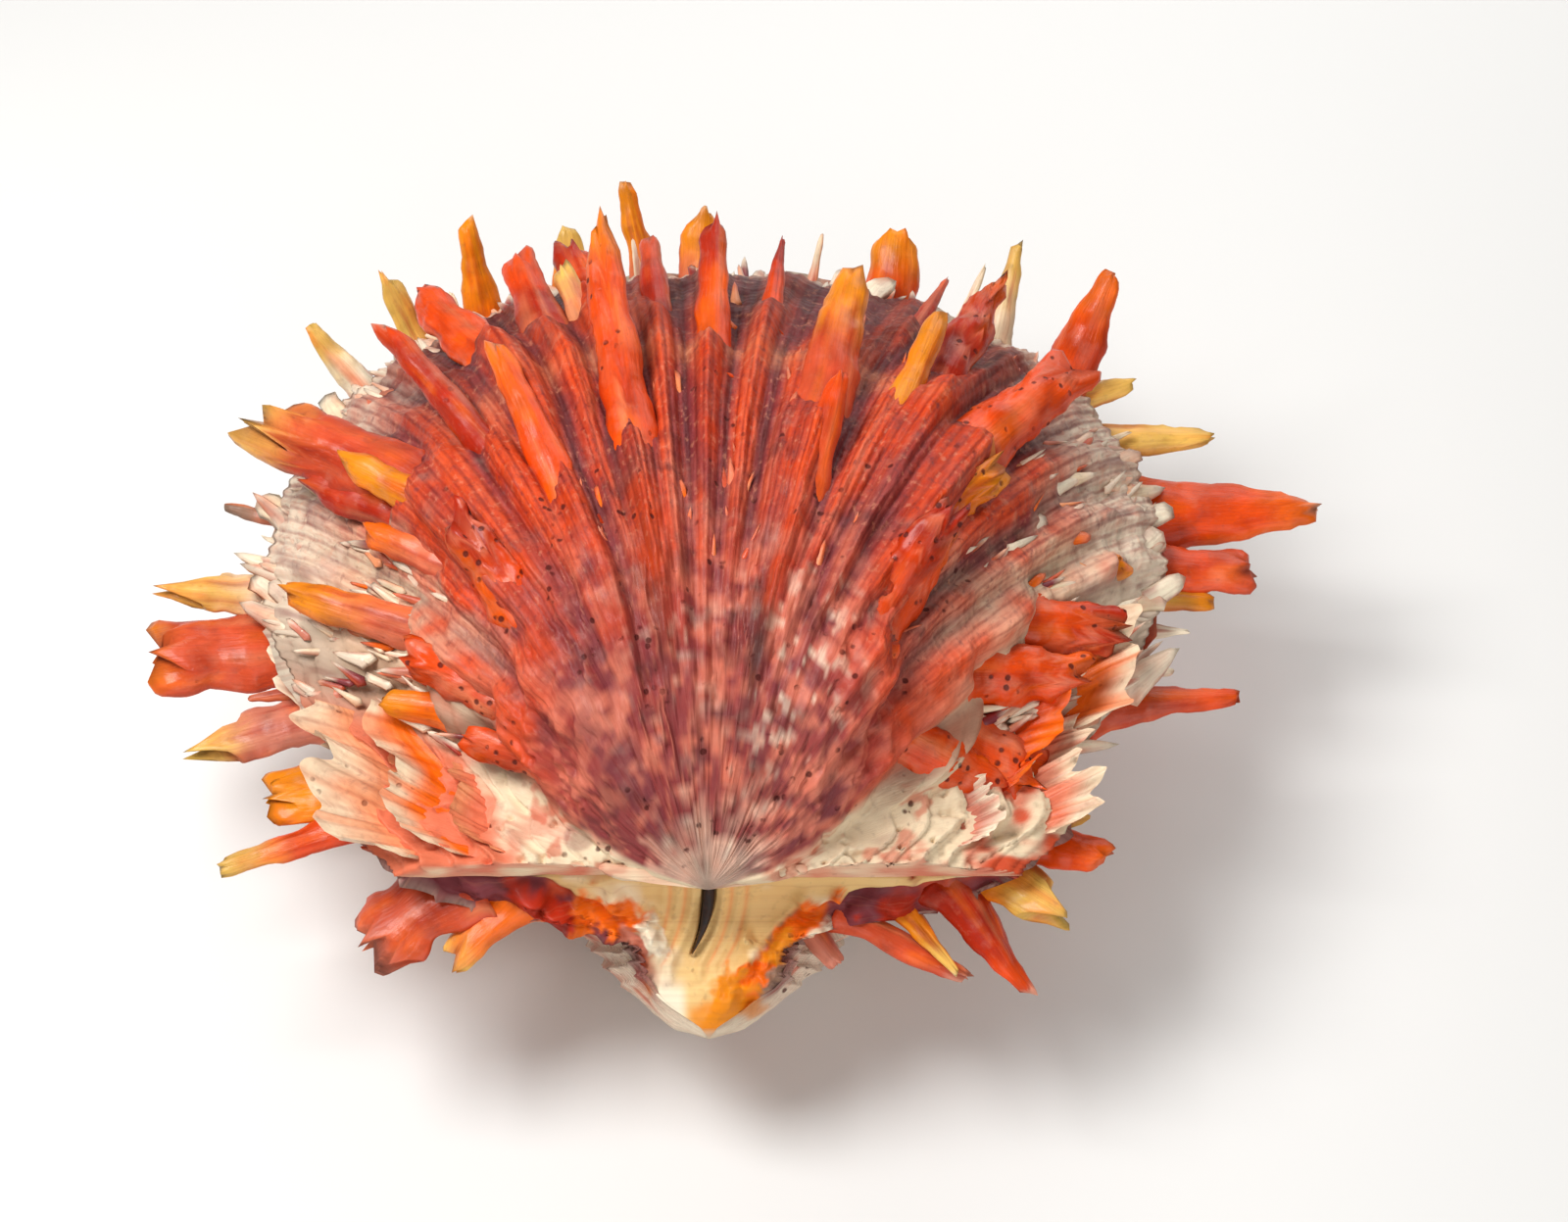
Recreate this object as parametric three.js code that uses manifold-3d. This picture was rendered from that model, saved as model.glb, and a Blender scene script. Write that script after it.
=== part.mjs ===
// Spiny oyster shell, closed and lying on the flat scar where it was cut from the rock.
// Millimetres, +Z up, hinge towards -Y. The origin is the centre of the attachment scar.
// The valves are built in hinge coordinates: x to the right along the hinge line, y towards the
// ventral margin, z up, with the plane where the valves meet at z = 0.
import * as THREE from 'three';
import Module from 'manifold-3d';
import { ParametricGeometry } from 'three/addons/geometries/ParametricGeometry.js';
import { mergeVertices } from 'three/addons/utils/BufferGeometryUtils.js';

const wasm = await Module();
wasm.setup();

// ---- driving dimensions (mm) ----
const HALF_WIDTH = 52;
const HALF_LENGTH = 51;
const OUTLINE_CENTRE = 44;
const EAR_LENGTH = 35;
const EAR_FLARE = 8;
const UPPER_HEIGHT = 23;
const LOWER_DEPTH = 31;
const SCAR_DEPTH = 32;
const SCAR_CENTRE = 40;
const UPPER_BEAK = new THREE.Vector3(0, -4, 3);
const LOWER_BEAK = new THREE.Vector3(0, -13, -13);
const WALL = 4.5;
const HALF_GAP = 0.15;
const FIT_GAP = 0.3;
const RIB_STEP = 5.4;
const SPINE_SINK = 2;
const SPINE_THICKNESS = 0.6;
const SPINE_SIDES = 6;
const RING_STEPS = 44;
const GROWTH_STEPS = 15;
const CUTTER = 300;

// ---- small maths ----
const rad = THREE.MathUtils.degToRad;
const smooth = (low, high, x) => THREE.MathUtils.smoothstep(x, low, high);

// Degrees between a rib direction and the nearer end of the hinge line.
const sideAngle = (angle) => Math.min(angle, 180 - angle);

// Distance from the middle of the hinge to the margin, along a direction in degrees from +X.
function marginRadius(angle) {
  const c = Math.cos(rad(angle));
  const s = Math.sin(rad(angle));
  const a = (c / HALF_WIDTH) ** 2 + (s / HALF_LENGTH) ** 2;
  const b = -2 * OUTLINE_CENTRE * s / HALF_LENGTH ** 2;
  const k = (OUTLINE_CENTRE / HALF_LENGTH) ** 2 - 1;
  const disc = (-b + Math.sqrt(b * b - 4 * a * k)) / (2 * a);
  const squared = disc * (1 - 0.022 * Math.cos(4 * rad(angle - 90)));
  const side = sideAngle(angle);
  const ear = 1 - smooth(18, 30, side);
  return squared * (1 - ear) + ear * (EAR_LENGTH + EAR_FLARE * smooth(0, 14, side));
}

// Height of a valve's curve from beak (0) to margin (0), 1 at its crest. A fuller valve rises
// faster from the beak.
function rise(growth, crest, fullness) {
  if (growth < crest) return 1 - (1 - growth / crest) ** fullness;
  return 1 - ((growth - crest) / (1 - crest)) ** 2.2;
}

// ---- valve surfaces ----
const MIDDLE_CREST = 0.42;
const upper = {
  beak: UPPER_BEAK,
  sign: 1,
  fullness: 2.4,
  crest: () => MIDDLE_CREST,
  height: (angle) => UPPER_HEIGHT * (0.14 + 0.86 * smooth(20, 70, sideAngle(angle)))
    * (0.93 + 0.07 * Math.sin(rad(angle))),
};
const lower = {
  beak: LOWER_BEAK,
  sign: -1,
  fullness: 1.5,
  crest: (angle) => MIDDLE_CREST + 0.3 * (1 - smooth(30, 90, sideAngle(angle))),
  height: (angle) => LOWER_DEPTH * (0.1 + 0.9 * smooth(15, 75, sideAngle(angle))),
};

// A point of a valve: growth 0 is its beak, growth 1 its margin. inset shrinks it for the inside.
function surfacePoint(valve, angle, growth, inset = 0) {
  const power = 0.55 + 0.45 * smooth(0, 45, sideAngle(angle));
  const radius = (marginRadius(angle) - inset) * growth;
  const height = valve.height(angle);
  const bulge = (height - Math.min(inset, height)) * rise(growth, valve.crest(angle), valve.fullness);
  const point = valve.beak.clone().multiplyScalar(1 - growth ** power);
  point.x += radius * Math.cos(rad(angle));
  point.y += radius * Math.sin(rad(angle));
  point.z += valve.sign * (bulge + HALF_GAP);
  return point;
}

// ---- solids ----
function toSolid(geometry) {
  const bare = geometry.clone();
  bare.deleteAttribute('normal');
  bare.deleteAttribute('uv');
  const merged = mergeVertices(bare, 1e-4);
  const index = merged.index.array;
  const triangles = [];
  for (let i = 0; i < index.length; i += 3) {
    const [a, b, c] = [index[i], index[i + 1], index[i + 2]];
    if (a !== b && b !== c && c !== a) triangles.push(a, b, c);
  }
  const position = merged.attributes.position;
  if (signedVolume(position, triangles) < 0) triangles.reverse();
  return new wasm.Manifold(new wasm.Mesh({
    numProp: 3,
    vertProperties: new Float32Array(position.array),
    triVerts: new Uint32Array(triangles),
  }));
}

function signedVolume(position, triangles) {
  const corner = [new THREE.Vector3(), new THREE.Vector3(), new THREE.Vector3()];
  let total = 0;
  for (let i = 0; i < triangles.length; i += 3) {
    corner.forEach((v, k) => v.fromBufferAttribute(position, triangles[i + k]));
    total += corner[0].dot(corner[1].clone().cross(corner[2]));
  }
  return total;
}

function toMesh(name, solid, material) {
  const { vertProperties, triVerts } = solid.getMesh();
  const geometry = new THREE.BufferGeometry();
  geometry.setAttribute('position', new THREE.BufferAttribute(vertProperties, 3));
  geometry.setIndex(new THREE.BufferAttribute(triVerts, 1));
  geometry.computeVertexNormals();
  const mesh = new THREE.Mesh(geometry, material);
  mesh.name = name;
  return mesh;
}

// A horn from the beak to the margin: each ring runs round the ribs and straight back across
// the hinge face, and a flat cap closes the margin. lift moves the cap past the valve's edge.
function hornGeometry(valve, inset, lift) {
  const ribShare = 0.8;
  const capShare = 0.12;
  const shift = new THREE.Vector3(0, inset * 1.3, valve.sign * -lift);
  const place = (u, v, target) => {
    const growth = Math.min(v / (1 - capShare), 1);
    if (u < ribShare) {
      target.copy(surfacePoint(valve, 180 * u / ribShare, growth, inset));
    } else {
      const back = Math.min((u - ribShare) / (1 - ribShare), 1);
      const left = surfacePoint(valve, 180, growth, inset);
      target.copy(left.lerp(surfacePoint(valve, 0, growth, inset), back));
    }
    if (v > 1 - capShare) {
      const towardsCentre = (v - 1 + capShare) / capShare;
      target.lerp(new THREE.Vector3(0, OUTLINE_CENTRE, target.z), towardsCentre);
    }
    target.add(shift);
  };
  return new ParametricGeometry(place, RING_STEPS, GROWTH_STEPS);
}

// A big block whose top or bottom face is level with the given height.
function blockBelow(height) {
  return toSolid(new THREE.BoxGeometry(CUTTER, CUTTER, CUTTER).translate(0, 0, height - CUTTER / 2));
}

function cup(valve, knobs) {
  const outside = toSolid(hornGeometry(valve, 0, 0));
  const inside = toSolid(hornGeometry(valve, WALL, 1)).subtract(blockBelow(WALL - SCAR_DEPTH));
  return knobs.reduce((joined, knob) => joined.add(knobSolid(knob)), outside.subtract(inside));
}

// Rounded lumps of shell on the beaks and beside the hinge face.
const UPPER_KNOBS = [{ at: [0, 1, 3.6], size: [7.5, 5, 3.3] }];
const LOWER_KNOBS = [
  { at: [0, -8.5, -13], size: [8, 7, 6.5] },
  { at: [11, -5.5, -8.5], size: [7, 5.5, 5] },
  { at: [-12, -4, -7.5], size: [7, 5, 5] },
  { at: [-21, -0.5, -5.5], size: [7, 4, 4] },
];

function knobSolid({ at, size }) {
  return toSolid(new THREE.SphereGeometry(1, 12, 8).scale(...size).translate(...at));
}

// ---- spines ----
// Upper spines stand on a rib, counted from the middle one and positive to the left. lift is the
// angle off the surface, and swing turns the spine along the surface, positive anticlockwise.
const UPPER_SPINES = [
  { rib: 2, growth: 0.42, length: 42, width: 6, lift: 10 },
  { rib: 2.2, growth: 0.74, length: 18, width: 3.6, lift: 18, swing: 7 },
  { rib: 4.3, growth: 0.4, length: 30, width: 4.4, lift: 10 },
  { rib: 4, growth: 0.74, length: 26, width: 7, lift: 15, swing: 11 },
  { rib: 3, growth: 0.74, length: 24, width: 5.6, lift: 17 },
  { rib: 5.2, growth: 0.54, length: 31, width: 4.2, lift: 16, swing: 4 },
  { rib: 2, growth: 0.84, length: 17, width: 6, lift: 24, swing: 5 },
  { rib: 6.6, growth: 0.6, length: 36, width: 9, lift: 20, swing: 16 },
  { rib: 6.4, growth: 0.5, length: 26, width: 5.2, lift: 16, swing: 18 },
  { rib: 7, growth: 0.7, length: 11, width: 3.4, lift: 16, swing: 20 },
  { rib: 7.3, growth: 0.66, length: 20, width: 5.4, lift: 20, swing: 14 },
  { rib: 7.6, growth: 0.54, length: 16, width: 4.4, lift: 15, swing: 12 },
  { rib: 7.5, growth: 0.31, length: 24, width: 6.6, lift: 15, swing: -12 },
  { rib: 9.4, growth: 0.36, length: 18, width: 6.4, lift: 18, swing: 4 },
  { rib: 9, growth: 0.56, length: 24, width: 5.2, lift: 16, swing: 14 },
  { rib: 10.2, growth: 0.28, length: 14, width: 4.4, lift: 17, swing: 12 },
  { rib: 10.6, growth: 0.58, length: 8, width: 4.2, lift: 24, swing: 15 },
  { rib: 1, growth: 0.74, length: 22, width: 3.8, lift: 16 },
  { rib: 0, growth: 0.62, length: 28, width: 4.6, lift: 18 },
  { rib: -1, growth: 0.74, length: 19, width: 3.2, lift: 18 },
  { rib: -2.6, growth: 0.52, length: 29, width: 6.6, lift: 14, swing: 2 },
  { rib: -3, growth: 0.36, length: 24, width: 4.2, lift: 11 },
  { rib: -4.3, growth: 0.58, length: 23, width: 3.8, lift: 13, swing: 6 },
  { rib: -4.6, growth: 0.68, length: 28, width: 6, lift: 16, swing: 6 },
  { rib: -5.8, growth: 0.63, length: 27, width: 8, lift: 18, swing: -6 },
  { rib: -6.1, growth: 0.48, length: 20, width: 6.6, lift: 15, swing: -8 },
  { rib: -7.3, growth: 0.3, length: 25, width: 7, lift: 14, swing: 12 },
  { rib: -7.7, growth: 0.2, length: 15, width: 5.4, lift: 12, swing: 4 },
  { rib: -9, growth: 0.62, length: 19, width: 6.4, lift: 18, swing: -32 },
  { rib: -9.3, growth: 0.48, length: 22, width: 7, lift: 18, swing: -30 },
  { rib: -9.6, growth: 0.34, length: 22, width: 6, lift: 16, swing: -58 },
  { rib: -11.2, growth: 0.56, length: 13, width: 7, lift: 16, swing: -50 },
  { rib: 11.6, growth: 0.9, length: 9, width: 9, lift: 26 },
  { rib: 13.8, growth: 0.88, length: 9, width: 10, lift: 26 },
  { rib: 15.6, growth: 0.86, length: 9, width: 9, lift: 24 },
  { rib: -12.2, growth: 0.84, length: 9, width: 8, lift: 28 },
];

// Lower spines stand just inside the margin, at an angle round the hinge (0 right, 90 ventral,
// 180 left). heading is the way that they point, in the same degrees, and lift is upwards.
const LOWER_SPINES = [
  { angle: 109, growth: 0.98, heading: 106, length: 19, width: 6, lift: 45 },
  { angle: 111, growth: 0.97, heading: 108, length: 12, width: 3.2, lift: 34 },
  { angle: 114, growth: 0.98, heading: 126, length: 17, width: 4.2, lift: 32 },
  { angle: 119, growth: 0.98, heading: 140, length: 17, width: 6, lift: 22 },
  { angle: 126, growth: 0.97, heading: 150, length: 9, width: 3.8, lift: 14 },
  { angle: 102, growth: 0.98, heading: 94, length: 15, width: 4.6, lift: 44 },
  { angle: 95, growth: 0.98, heading: 108, length: 19, width: 5.6, lift: 46 },
  { angle: 92, growth: 0.98, heading: 84, length: 15, width: 6, lift: 44 },
  { angle: 76, growth: 0.98, heading: 83, length: 17, width: 8, lift: 28 },
  { angle: 67, growth: 0.98, heading: 72, length: 19, width: 5.4, lift: 32 },
  { angle: 61, growth: 0.98, heading: 54, length: 22, width: 9, lift: 34 },
  { angle: 63, growth: 0.97, heading: 15, length: 17, width: 5, lift: 10 },
  { angle: 60, growth: 0.97, heading: -4, length: 24, width: 5.2, lift: 6 },
  { angle: 51.5, growth: 0.97, heading: -2, length: 28, width: 13, lift: 6 },
  { angle: 45, growth: 0.97, heading: -4, length: 18, width: 7.4, lift: 3 },
  { angle: 42, growth: 0.97, heading: -2, length: 12, width: 4, lift: -6 },
  { angle: 31, growth: 0.97, heading: -2, length: 16, width: 6, lift: 6 },
  { angle: 15, growth: 0.92, heading: -20, length: 13, width: 6, lift: 2 },
  { angle: 8, growth: 0.9, heading: -38, length: 13, width: 7.4, lift: -2 },
  { angle: 3, growth: 0.8, heading: -52, length: 15, width: 5.4, lift: -22 },
  { angle: 2, growth: 0.68, heading: -50, length: 9, width: 3.4, lift: -12 },
  { angle: 2, growth: 0.52, heading: -24, length: 16, width: 3.6, lift: -14 },
  { angle: 131, growth: 0.97, heading: 172, length: 13, width: 4.2, lift: 10 },
  { angle: 138, growth: 0.97, heading: 184, length: 20, width: 6.6, lift: 10 },
  { angle: 143, growth: 0.97, heading: 188, length: 21, width: 11, lift: 6 },
  { angle: 150, growth: 0.96, heading: 198, length: 19, width: 7.4, lift: -2 },
  { angle: 156, growth: 0.95, heading: 190, length: 16, width: 7.4, lift: -2 },
  { angle: 160, growth: 0.94, heading: 200, length: 23, width: 6, lift: -4 },
  { angle: 174, growth: 0.88, heading: 214, length: 14, width: 10, lift: -20 },
  { angle: 178, growth: 0.7, heading: 226, length: 11, width: 6, lift: -18 },
];
const LOWER_SPINE_DEPTH = 3.4;
const UP = new THREE.Vector3(0, 0, 1);

// Base point and directions on the upper valve: along the growth and outwards.
function ribFrame(rib, growth) {
  const angle = 90 + rib * RIB_STEP;
  const step = 0.01;
  const degree = 0.5;
  const along = surfacePoint(upper, angle, growth + step)
    .sub(surfacePoint(upper, angle, growth - step)).normalize();
  const turn = surfacePoint(upper, angle + degree, growth)
    .sub(surfacePoint(upper, angle - degree, growth));
  const outward = along.clone().cross(turn).normalize();
  return { root: surfacePoint(upper, angle, growth), along, outward };
}

// Base point and directions near the lower valve's margin: level along the heading, and up.
function marginFrame({ angle, growth, heading }) {
  const root = surfacePoint(lower, angle, growth);
  const inwards = root.clone().setZ(0).normalize().multiplyScalar(-LOWER_SPINE_DEPTH / 2);
  root.add(inwards).add(new THREE.Vector3(0, 0, Math.min(-LOWER_SPINE_DEPTH - root.z, 0)));
  const along = new THREE.Vector3(Math.cos(rad(heading)), Math.sin(rad(heading)), 0);
  return { root, along, outward: UP };
}

// A flat-sectioned tapering spine, blunt at its tip, with its root sunk in the shell.
function spineSolid({ root, along, outward }, { length, width, lift, swing = 0 }) {
  const heading = along.clone().applyAxisAngle(outward, rad(swing));
  const axis = heading.multiplyScalar(Math.cos(rad(lift)))
    .addScaledVector(outward, Math.sin(rad(lift)));
  const across = axis.clone().cross(outward).normalize();
  const basis = new THREE.Matrix4().makeBasis(across, axis, across.clone().cross(axis));
  const whole = length + SPINE_SINK;
  const body = new THREE.CylinderGeometry(width / 5, width / 2, whole, SPINE_SIDES);
  body.scale(1, 1, SPINE_THICKNESS);
  body.translate(0, whole / 2 - SPINE_SINK, 0);
  body.applyMatrix4(basis.setPosition(root));
  return toSolid(body);
}

function upperSpine(spine) {
  return spineSolid(ribFrame(spine.rib, spine.growth), spine);
}

function lowerSpine(spine) {
  return spineSolid(marginFrame(spine), spine);
}

// ---- hinge slit and ligament ----
// An upright hooked strip in the plane of the hinge face, from the hinge line towards the beak.
const SLIT_TOP = 1;
const SLIT_LENGTH = 8.5;
const SLIT_WIDTH = 1.6;
const SLIT_DEPTH = 2.2;
const SLIT_CUT = 4;
const SLIT_HOOK = 2.2;

function hookedStrip(clearance, depth) {
  const half = SLIT_WIDTH / 2 - clearance;
  const top = -SLIT_TOP - clearance;
  const bottom = -SLIT_TOP - SLIT_LENGTH + clearance;
  const outline = new THREE.Shape();
  outline.moveTo(half, top);
  outline.lineTo(-half, top);
  outline.quadraticCurveTo(-half, bottom * 0.7, -SLIT_HOOK - half, bottom);
  outline.lineTo(half - SLIT_HOOK, bottom);
  outline.quadraticCurveTo(half, bottom * 0.7, half, top);
  return new THREE.ExtrudeGeometry(outline, { depth, bevelEnabled: false, curveSegments: 4 });
}

// Turns a strip drawn in x and y so that y runs up the hinge face and z out of it.
function onHingeFace(geometry, sunk) {
  const slope = Math.atan2(-LOWER_BEAK.z, -LOWER_BEAK.y);
  geometry.translate(0, 0, -sunk);
  geometry.rotateX(slope);
  geometry.translate(0, 0, -HALF_GAP);
  return toSolid(geometry);
}

// ---- materials ----
const finish = (color, roughness) => new THREE.MeshStandardMaterial({ color, roughness, metalness: 0 });
const materials = {
  upper: finish(0xc8563a, 0.4),
  lower: finish(0xe8c896, 0.5),
  ligament: finish(0x2a1a14, 0.75),
};

// ---- pieces ----
function upperValve() {
  const smoothValve = cup(upper, UPPER_KNOBS);
  const body = UPPER_SPINES.reduce((joined, spine) => joined.add(upperSpine(spine)), smoothValve);
  return toMesh('upper_valve', body.subtract(blockBelow(HALF_GAP)), materials.upper);
}

function lowerValve() {
  const slit = onHingeFace(hookedStrip(0, SLIT_CUT), SLIT_DEPTH);
  const smoothValve = cup(lower, LOWER_KNOBS);
  const body = LOWER_SPINES.reduce((joined, spine) => joined.add(lowerSpine(spine)), smoothValve);
  const onScar = body.subtract(blockBelow(-SCAR_DEPTH));
  return toMesh('lower_valve', onScar.subtract(slit), materials.lower);
}

function hingeLigament() {
  const depth = SLIT_DEPTH - 2 * FIT_GAP;
  const strip = onHingeFace(hookedStrip(FIT_GAP, depth), SLIT_DEPTH - FIT_GAP);
  return toMesh('hinge_ligament', strip, materials.ligament);
}

const shell = new THREE.Group();
shell.position.set(0, -SCAR_CENTRE, SCAR_DEPTH);
shell.add(upperValve(), lowerValve(), hingeLigament());

const group = new THREE.Group();
group.add(shell);

export default group;
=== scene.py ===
"""Spiny oyster shell: two ribbed valves with spines, frills and the dark ligament in the hinge."""
import math
from typing import NamedTuple

import bmesh
import bpy
import numpy as np
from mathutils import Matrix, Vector


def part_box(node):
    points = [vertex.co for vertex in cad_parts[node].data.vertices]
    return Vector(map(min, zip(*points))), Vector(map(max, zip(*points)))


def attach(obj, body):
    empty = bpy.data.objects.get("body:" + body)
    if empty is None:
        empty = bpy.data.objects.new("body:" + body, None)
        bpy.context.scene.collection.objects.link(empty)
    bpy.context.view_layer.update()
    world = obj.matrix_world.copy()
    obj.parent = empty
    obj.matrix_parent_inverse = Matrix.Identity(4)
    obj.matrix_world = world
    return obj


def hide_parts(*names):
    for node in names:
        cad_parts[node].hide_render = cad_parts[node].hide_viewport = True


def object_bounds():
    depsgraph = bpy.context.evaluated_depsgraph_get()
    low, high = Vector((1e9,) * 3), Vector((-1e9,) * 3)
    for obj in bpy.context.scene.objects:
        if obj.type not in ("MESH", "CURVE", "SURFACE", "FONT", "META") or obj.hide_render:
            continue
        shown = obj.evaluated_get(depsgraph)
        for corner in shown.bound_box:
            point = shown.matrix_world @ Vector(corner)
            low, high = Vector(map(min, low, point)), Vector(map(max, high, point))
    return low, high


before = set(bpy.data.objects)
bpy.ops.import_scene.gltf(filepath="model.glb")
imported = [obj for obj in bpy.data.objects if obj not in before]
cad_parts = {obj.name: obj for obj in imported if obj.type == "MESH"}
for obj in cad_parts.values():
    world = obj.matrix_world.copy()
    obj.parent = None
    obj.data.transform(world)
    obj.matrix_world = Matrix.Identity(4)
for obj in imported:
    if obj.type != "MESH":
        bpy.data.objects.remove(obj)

CAD_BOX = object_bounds()

# ---- the maker's frame: millimetres from the middle of the hinge line, set on the CAD valves ----
UPPER_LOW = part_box("upper_valve")[0]
BEAK_OVERHANG = 4.0
HALF_GAP = 0.15
MM = 0.001
HINGE = np.array([0.0, UPPER_LOW[1] / MM + BEAK_OVERHANG, UPPER_LOW[2] / MM - HALF_GAP])
FLOOR = -HINGE[2]
BOX_MARGIN = 0.05

HALF_WIDTH, HALF_LENGTH, OUTLINE_CENTRE = 52.0, 51.0, 44.0
EAR_LENGTH, EAR_FLARE = 35.0, 8.0
UPPER_HEIGHT, LOWER_DEPTH = 23.0, 31.0
RIB_STEP = 5.4
RIB_LENGTH = 90.0
RIBLETS = 5
HINGE_SHARE = 0.08
MIDDLE_CREST = 0.42
END = 1e-6


# ---- numbers over a surface ----
def smooth(low, high, x):
    t = np.clip((x - low) / (high - low), 0, 1)
    return t * t * (3 - 2 * t)


def bump(centre, width, x):
    return np.exp(-(((x - centre) / width) ** 2))


LATTICE = 32
SEED_STEP = 7.31
GRAIN = np.random.default_rng(7).random((LATTICE, LATTICE, LATTICE)) * 2 - 1


def noise(points, size, seed=0.0):
    """Smooth value noise from -1 to 1, with lumps of the given size."""
    q = points / size + seed * SEED_STEP
    cell = np.floor(q).astype(int)
    f = q - cell
    f = f * f * (3 - 2 * f)
    total = 0.0
    for dx in (0, 1):
        for dy in (0, 1):
            for dz in (0, 1):
                weight = 1.0
                for axis, step in enumerate((dx, dy, dz)):
                    weight = weight * (f[..., axis] if step else 1 - f[..., axis])
                corner = (cell + (dx, dy, dz)) % LATTICE
                total = total + weight * GRAIN[corner[..., 0], corner[..., 1], corner[..., 2]]
    return total


def streaks(across, along, width, length, seed=0.0):
    """Noise drawn out along the growth."""
    flat = np.zeros_like(across)
    return noise(np.stack([across / width, along / length, flat], -1), 1.0, seed)


# ---- colours ----
def shade(red, green, blue):
    value = np.array([red, green, blue]) / 255
    return np.where(value <= 0.04045, value / 12.92, ((value + 0.055) / 1.055) ** 2.4)


CORAL = shade(196, 74, 40)
SALMON = shade(218, 114, 80)
MAUVE = shade(120, 50, 56)
PLUM = shade(84, 34, 36)
CREAM = shade(228, 206, 172)
CHALK = shade(222, 204, 180)
CLAY = shade(140, 108, 88)
PEACH = shade(226, 146, 100)
BRICK = shade(164, 34, 4)
VERMILION = shade(216, 68, 2)
ORANGE = shade(232, 102, 4)
AMBER = shade(224, 132, 14)
STRAW = shade(220, 174, 82)
BLUSH = shade(204, 122, 98)
BONE = shade(238, 224, 196)
IVORY = shade(226, 188, 124)
GRIME = shade(56, 32, 28)
# Painted shade for the deep slit in the hinge face.
SLIT_SHADE = shade(24, 10, 6)
DARK_HORN = shade(22, 12, 9)
BROWN_HORN = shade(64, 38, 26)
THREAD_TINT = shade(150, 80, 92)
FIBRE_TINT = shade(205, 130, 120)
FLAKE_TINT = shade(226, 150, 116)
STAIN_TINT = shade(92, 34, 40)
DUST_TINT = shade(96, 50, 44)
HOLE_TINT = shade(70, 14, 10)
DUSTY_PINK = shade(200, 112, 90)


def blend(first, second, mask):
    mask = np.clip(mask, 0, 1)[..., None]
    return first * (1 - mask) + second * mask


# ---- the two valves' smooth shapes ----
def side_angle(angle):
    return np.minimum(angle, 180 - angle)


def margin_radius(angle):
    """Distance from the middle of the hinge to the margin, along an angle from the hinge line."""
    c, s = np.cos(np.radians(angle)), np.sin(np.radians(angle))
    a = (c / HALF_WIDTH) ** 2 + (s / HALF_LENGTH) ** 2
    b = -2 * OUTLINE_CENTRE * s / HALF_LENGTH**2
    k = (OUTLINE_CENTRE / HALF_LENGTH) ** 2 - 1
    disc = (-b + np.sqrt(b * b - 4 * a * k)) / (2 * a)
    disc = disc * (1 - 0.022 * np.cos(4 * np.radians(angle - 90)))
    side = side_angle(angle)
    ear = 1 - smooth(18, 30, side)
    return disc * (1 - ear) + ear * (EAR_LENGTH + EAR_FLARE * smooth(0, 14, side))


def rise(growth, crest, fullness):
    """Height of a valve's curve from beak to margin, 1 at its crest."""
    before = 1 - np.clip(1 - growth / crest, 0, 1) ** fullness
    after = 1 - np.clip((growth - crest) / (1 - crest), 0, 1) ** 2.2
    return np.where(growth < crest, before, after)


class Valve(NamedTuple):
    """Beak point, side of the commissure, depth, and how the sides, beak and waist are shaped."""
    beak: tuple
    sign: int
    depth: float
    flank: tuple
    side_crest: float
    fullness: float
    beak_swell: tuple
    waist: float


UPPER = Valve((0, -4, 3), 1, UPPER_HEIGHT, (0.14, 20, 70), MIDDLE_CREST, 2.4, (9.0, 3.0), 0.0)
LOWER = Valve((0, -13, -13), -1, LOWER_DEPTH, (0.1, 15, 75), 0.72, 1.5, (4.5, 2.0), 0.5)


def valve_point(valve, angle, growth):
    least, low, high = valve.flank
    side = side_angle(angle)
    height = valve.depth * (least + (1 - least) * smooth(low, high, side))
    crest = MIDDLE_CREST + (valve.side_crest - MIDDLE_CREST) * (1 - smooth(30, 90, side))
    power = 0.55 + 0.45 * smooth(0, 45, side)
    fade = 1 - growth**power
    swell = (1 - np.exp(-growth / 0.05)) * (1 - growth) ** 3
    pinch = valve.waist * bump(0.45, 0.3, growth) * (1 - smooth(15, 90, side))
    radius = margin_radius(angle) * growth * (1 - pinch)
    c, s = np.cos(np.radians(angle)), np.sin(np.radians(angle))
    x = valve.beak[0] * fade + radius * c + valve.beak_swell[0] * swell * c
    y = valve.beak[1] * fade + radius * s
    z = valve.beak[2] * fade + valve.sign * (
        height * rise(growth, crest, valve.fullness) + HALF_GAP + valve.beak_swell[1] * swell * s
    )
    return np.stack([x, y, z], -1)


def ring_point(valve, around, growth):
    """Round the ribs from right to left, then straight back along the hinge face."""
    angle = fan_angle(around)
    ribs = valve_point(valve, angle, growth)
    back = np.clip((around - 1 + HINGE_SHARE) / HINGE_SHARE, 0, 1)[..., None]
    left = valve_point(valve, np.full_like(angle, 180.0), growth)
    right = valve_point(valve, np.zeros_like(angle), growth)
    return np.where(back > 0, left + (right - left) * back, ribs)


def fan_angle(around):
    """Columns are closer together on the ribbed fan than on the ears."""
    share = np.clip(around / (1 - HINGE_SHARE), 0, 1)
    return np.interp(share, (0, 0.1, 0.9, 1), (0, 30, 150, 180))


def outward(valve, around, growth):
    step = 0.002
    low, high = np.clip(growth - step, 0, 1), np.clip(growth + step, 0, 1)
    along = ring_point(valve, around, high) - ring_point(valve, around, low)
    left, right = np.clip(around - step, 0, 1), np.clip(around + step, 0, 1)
    turn = ring_point(valve, right, growth) - ring_point(valve, left, growth)
    normal = np.cross(along, turn) * valve.sign
    return normal / np.maximum(np.linalg.norm(normal, axis=-1, keepdims=True), 1e-9)


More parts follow.
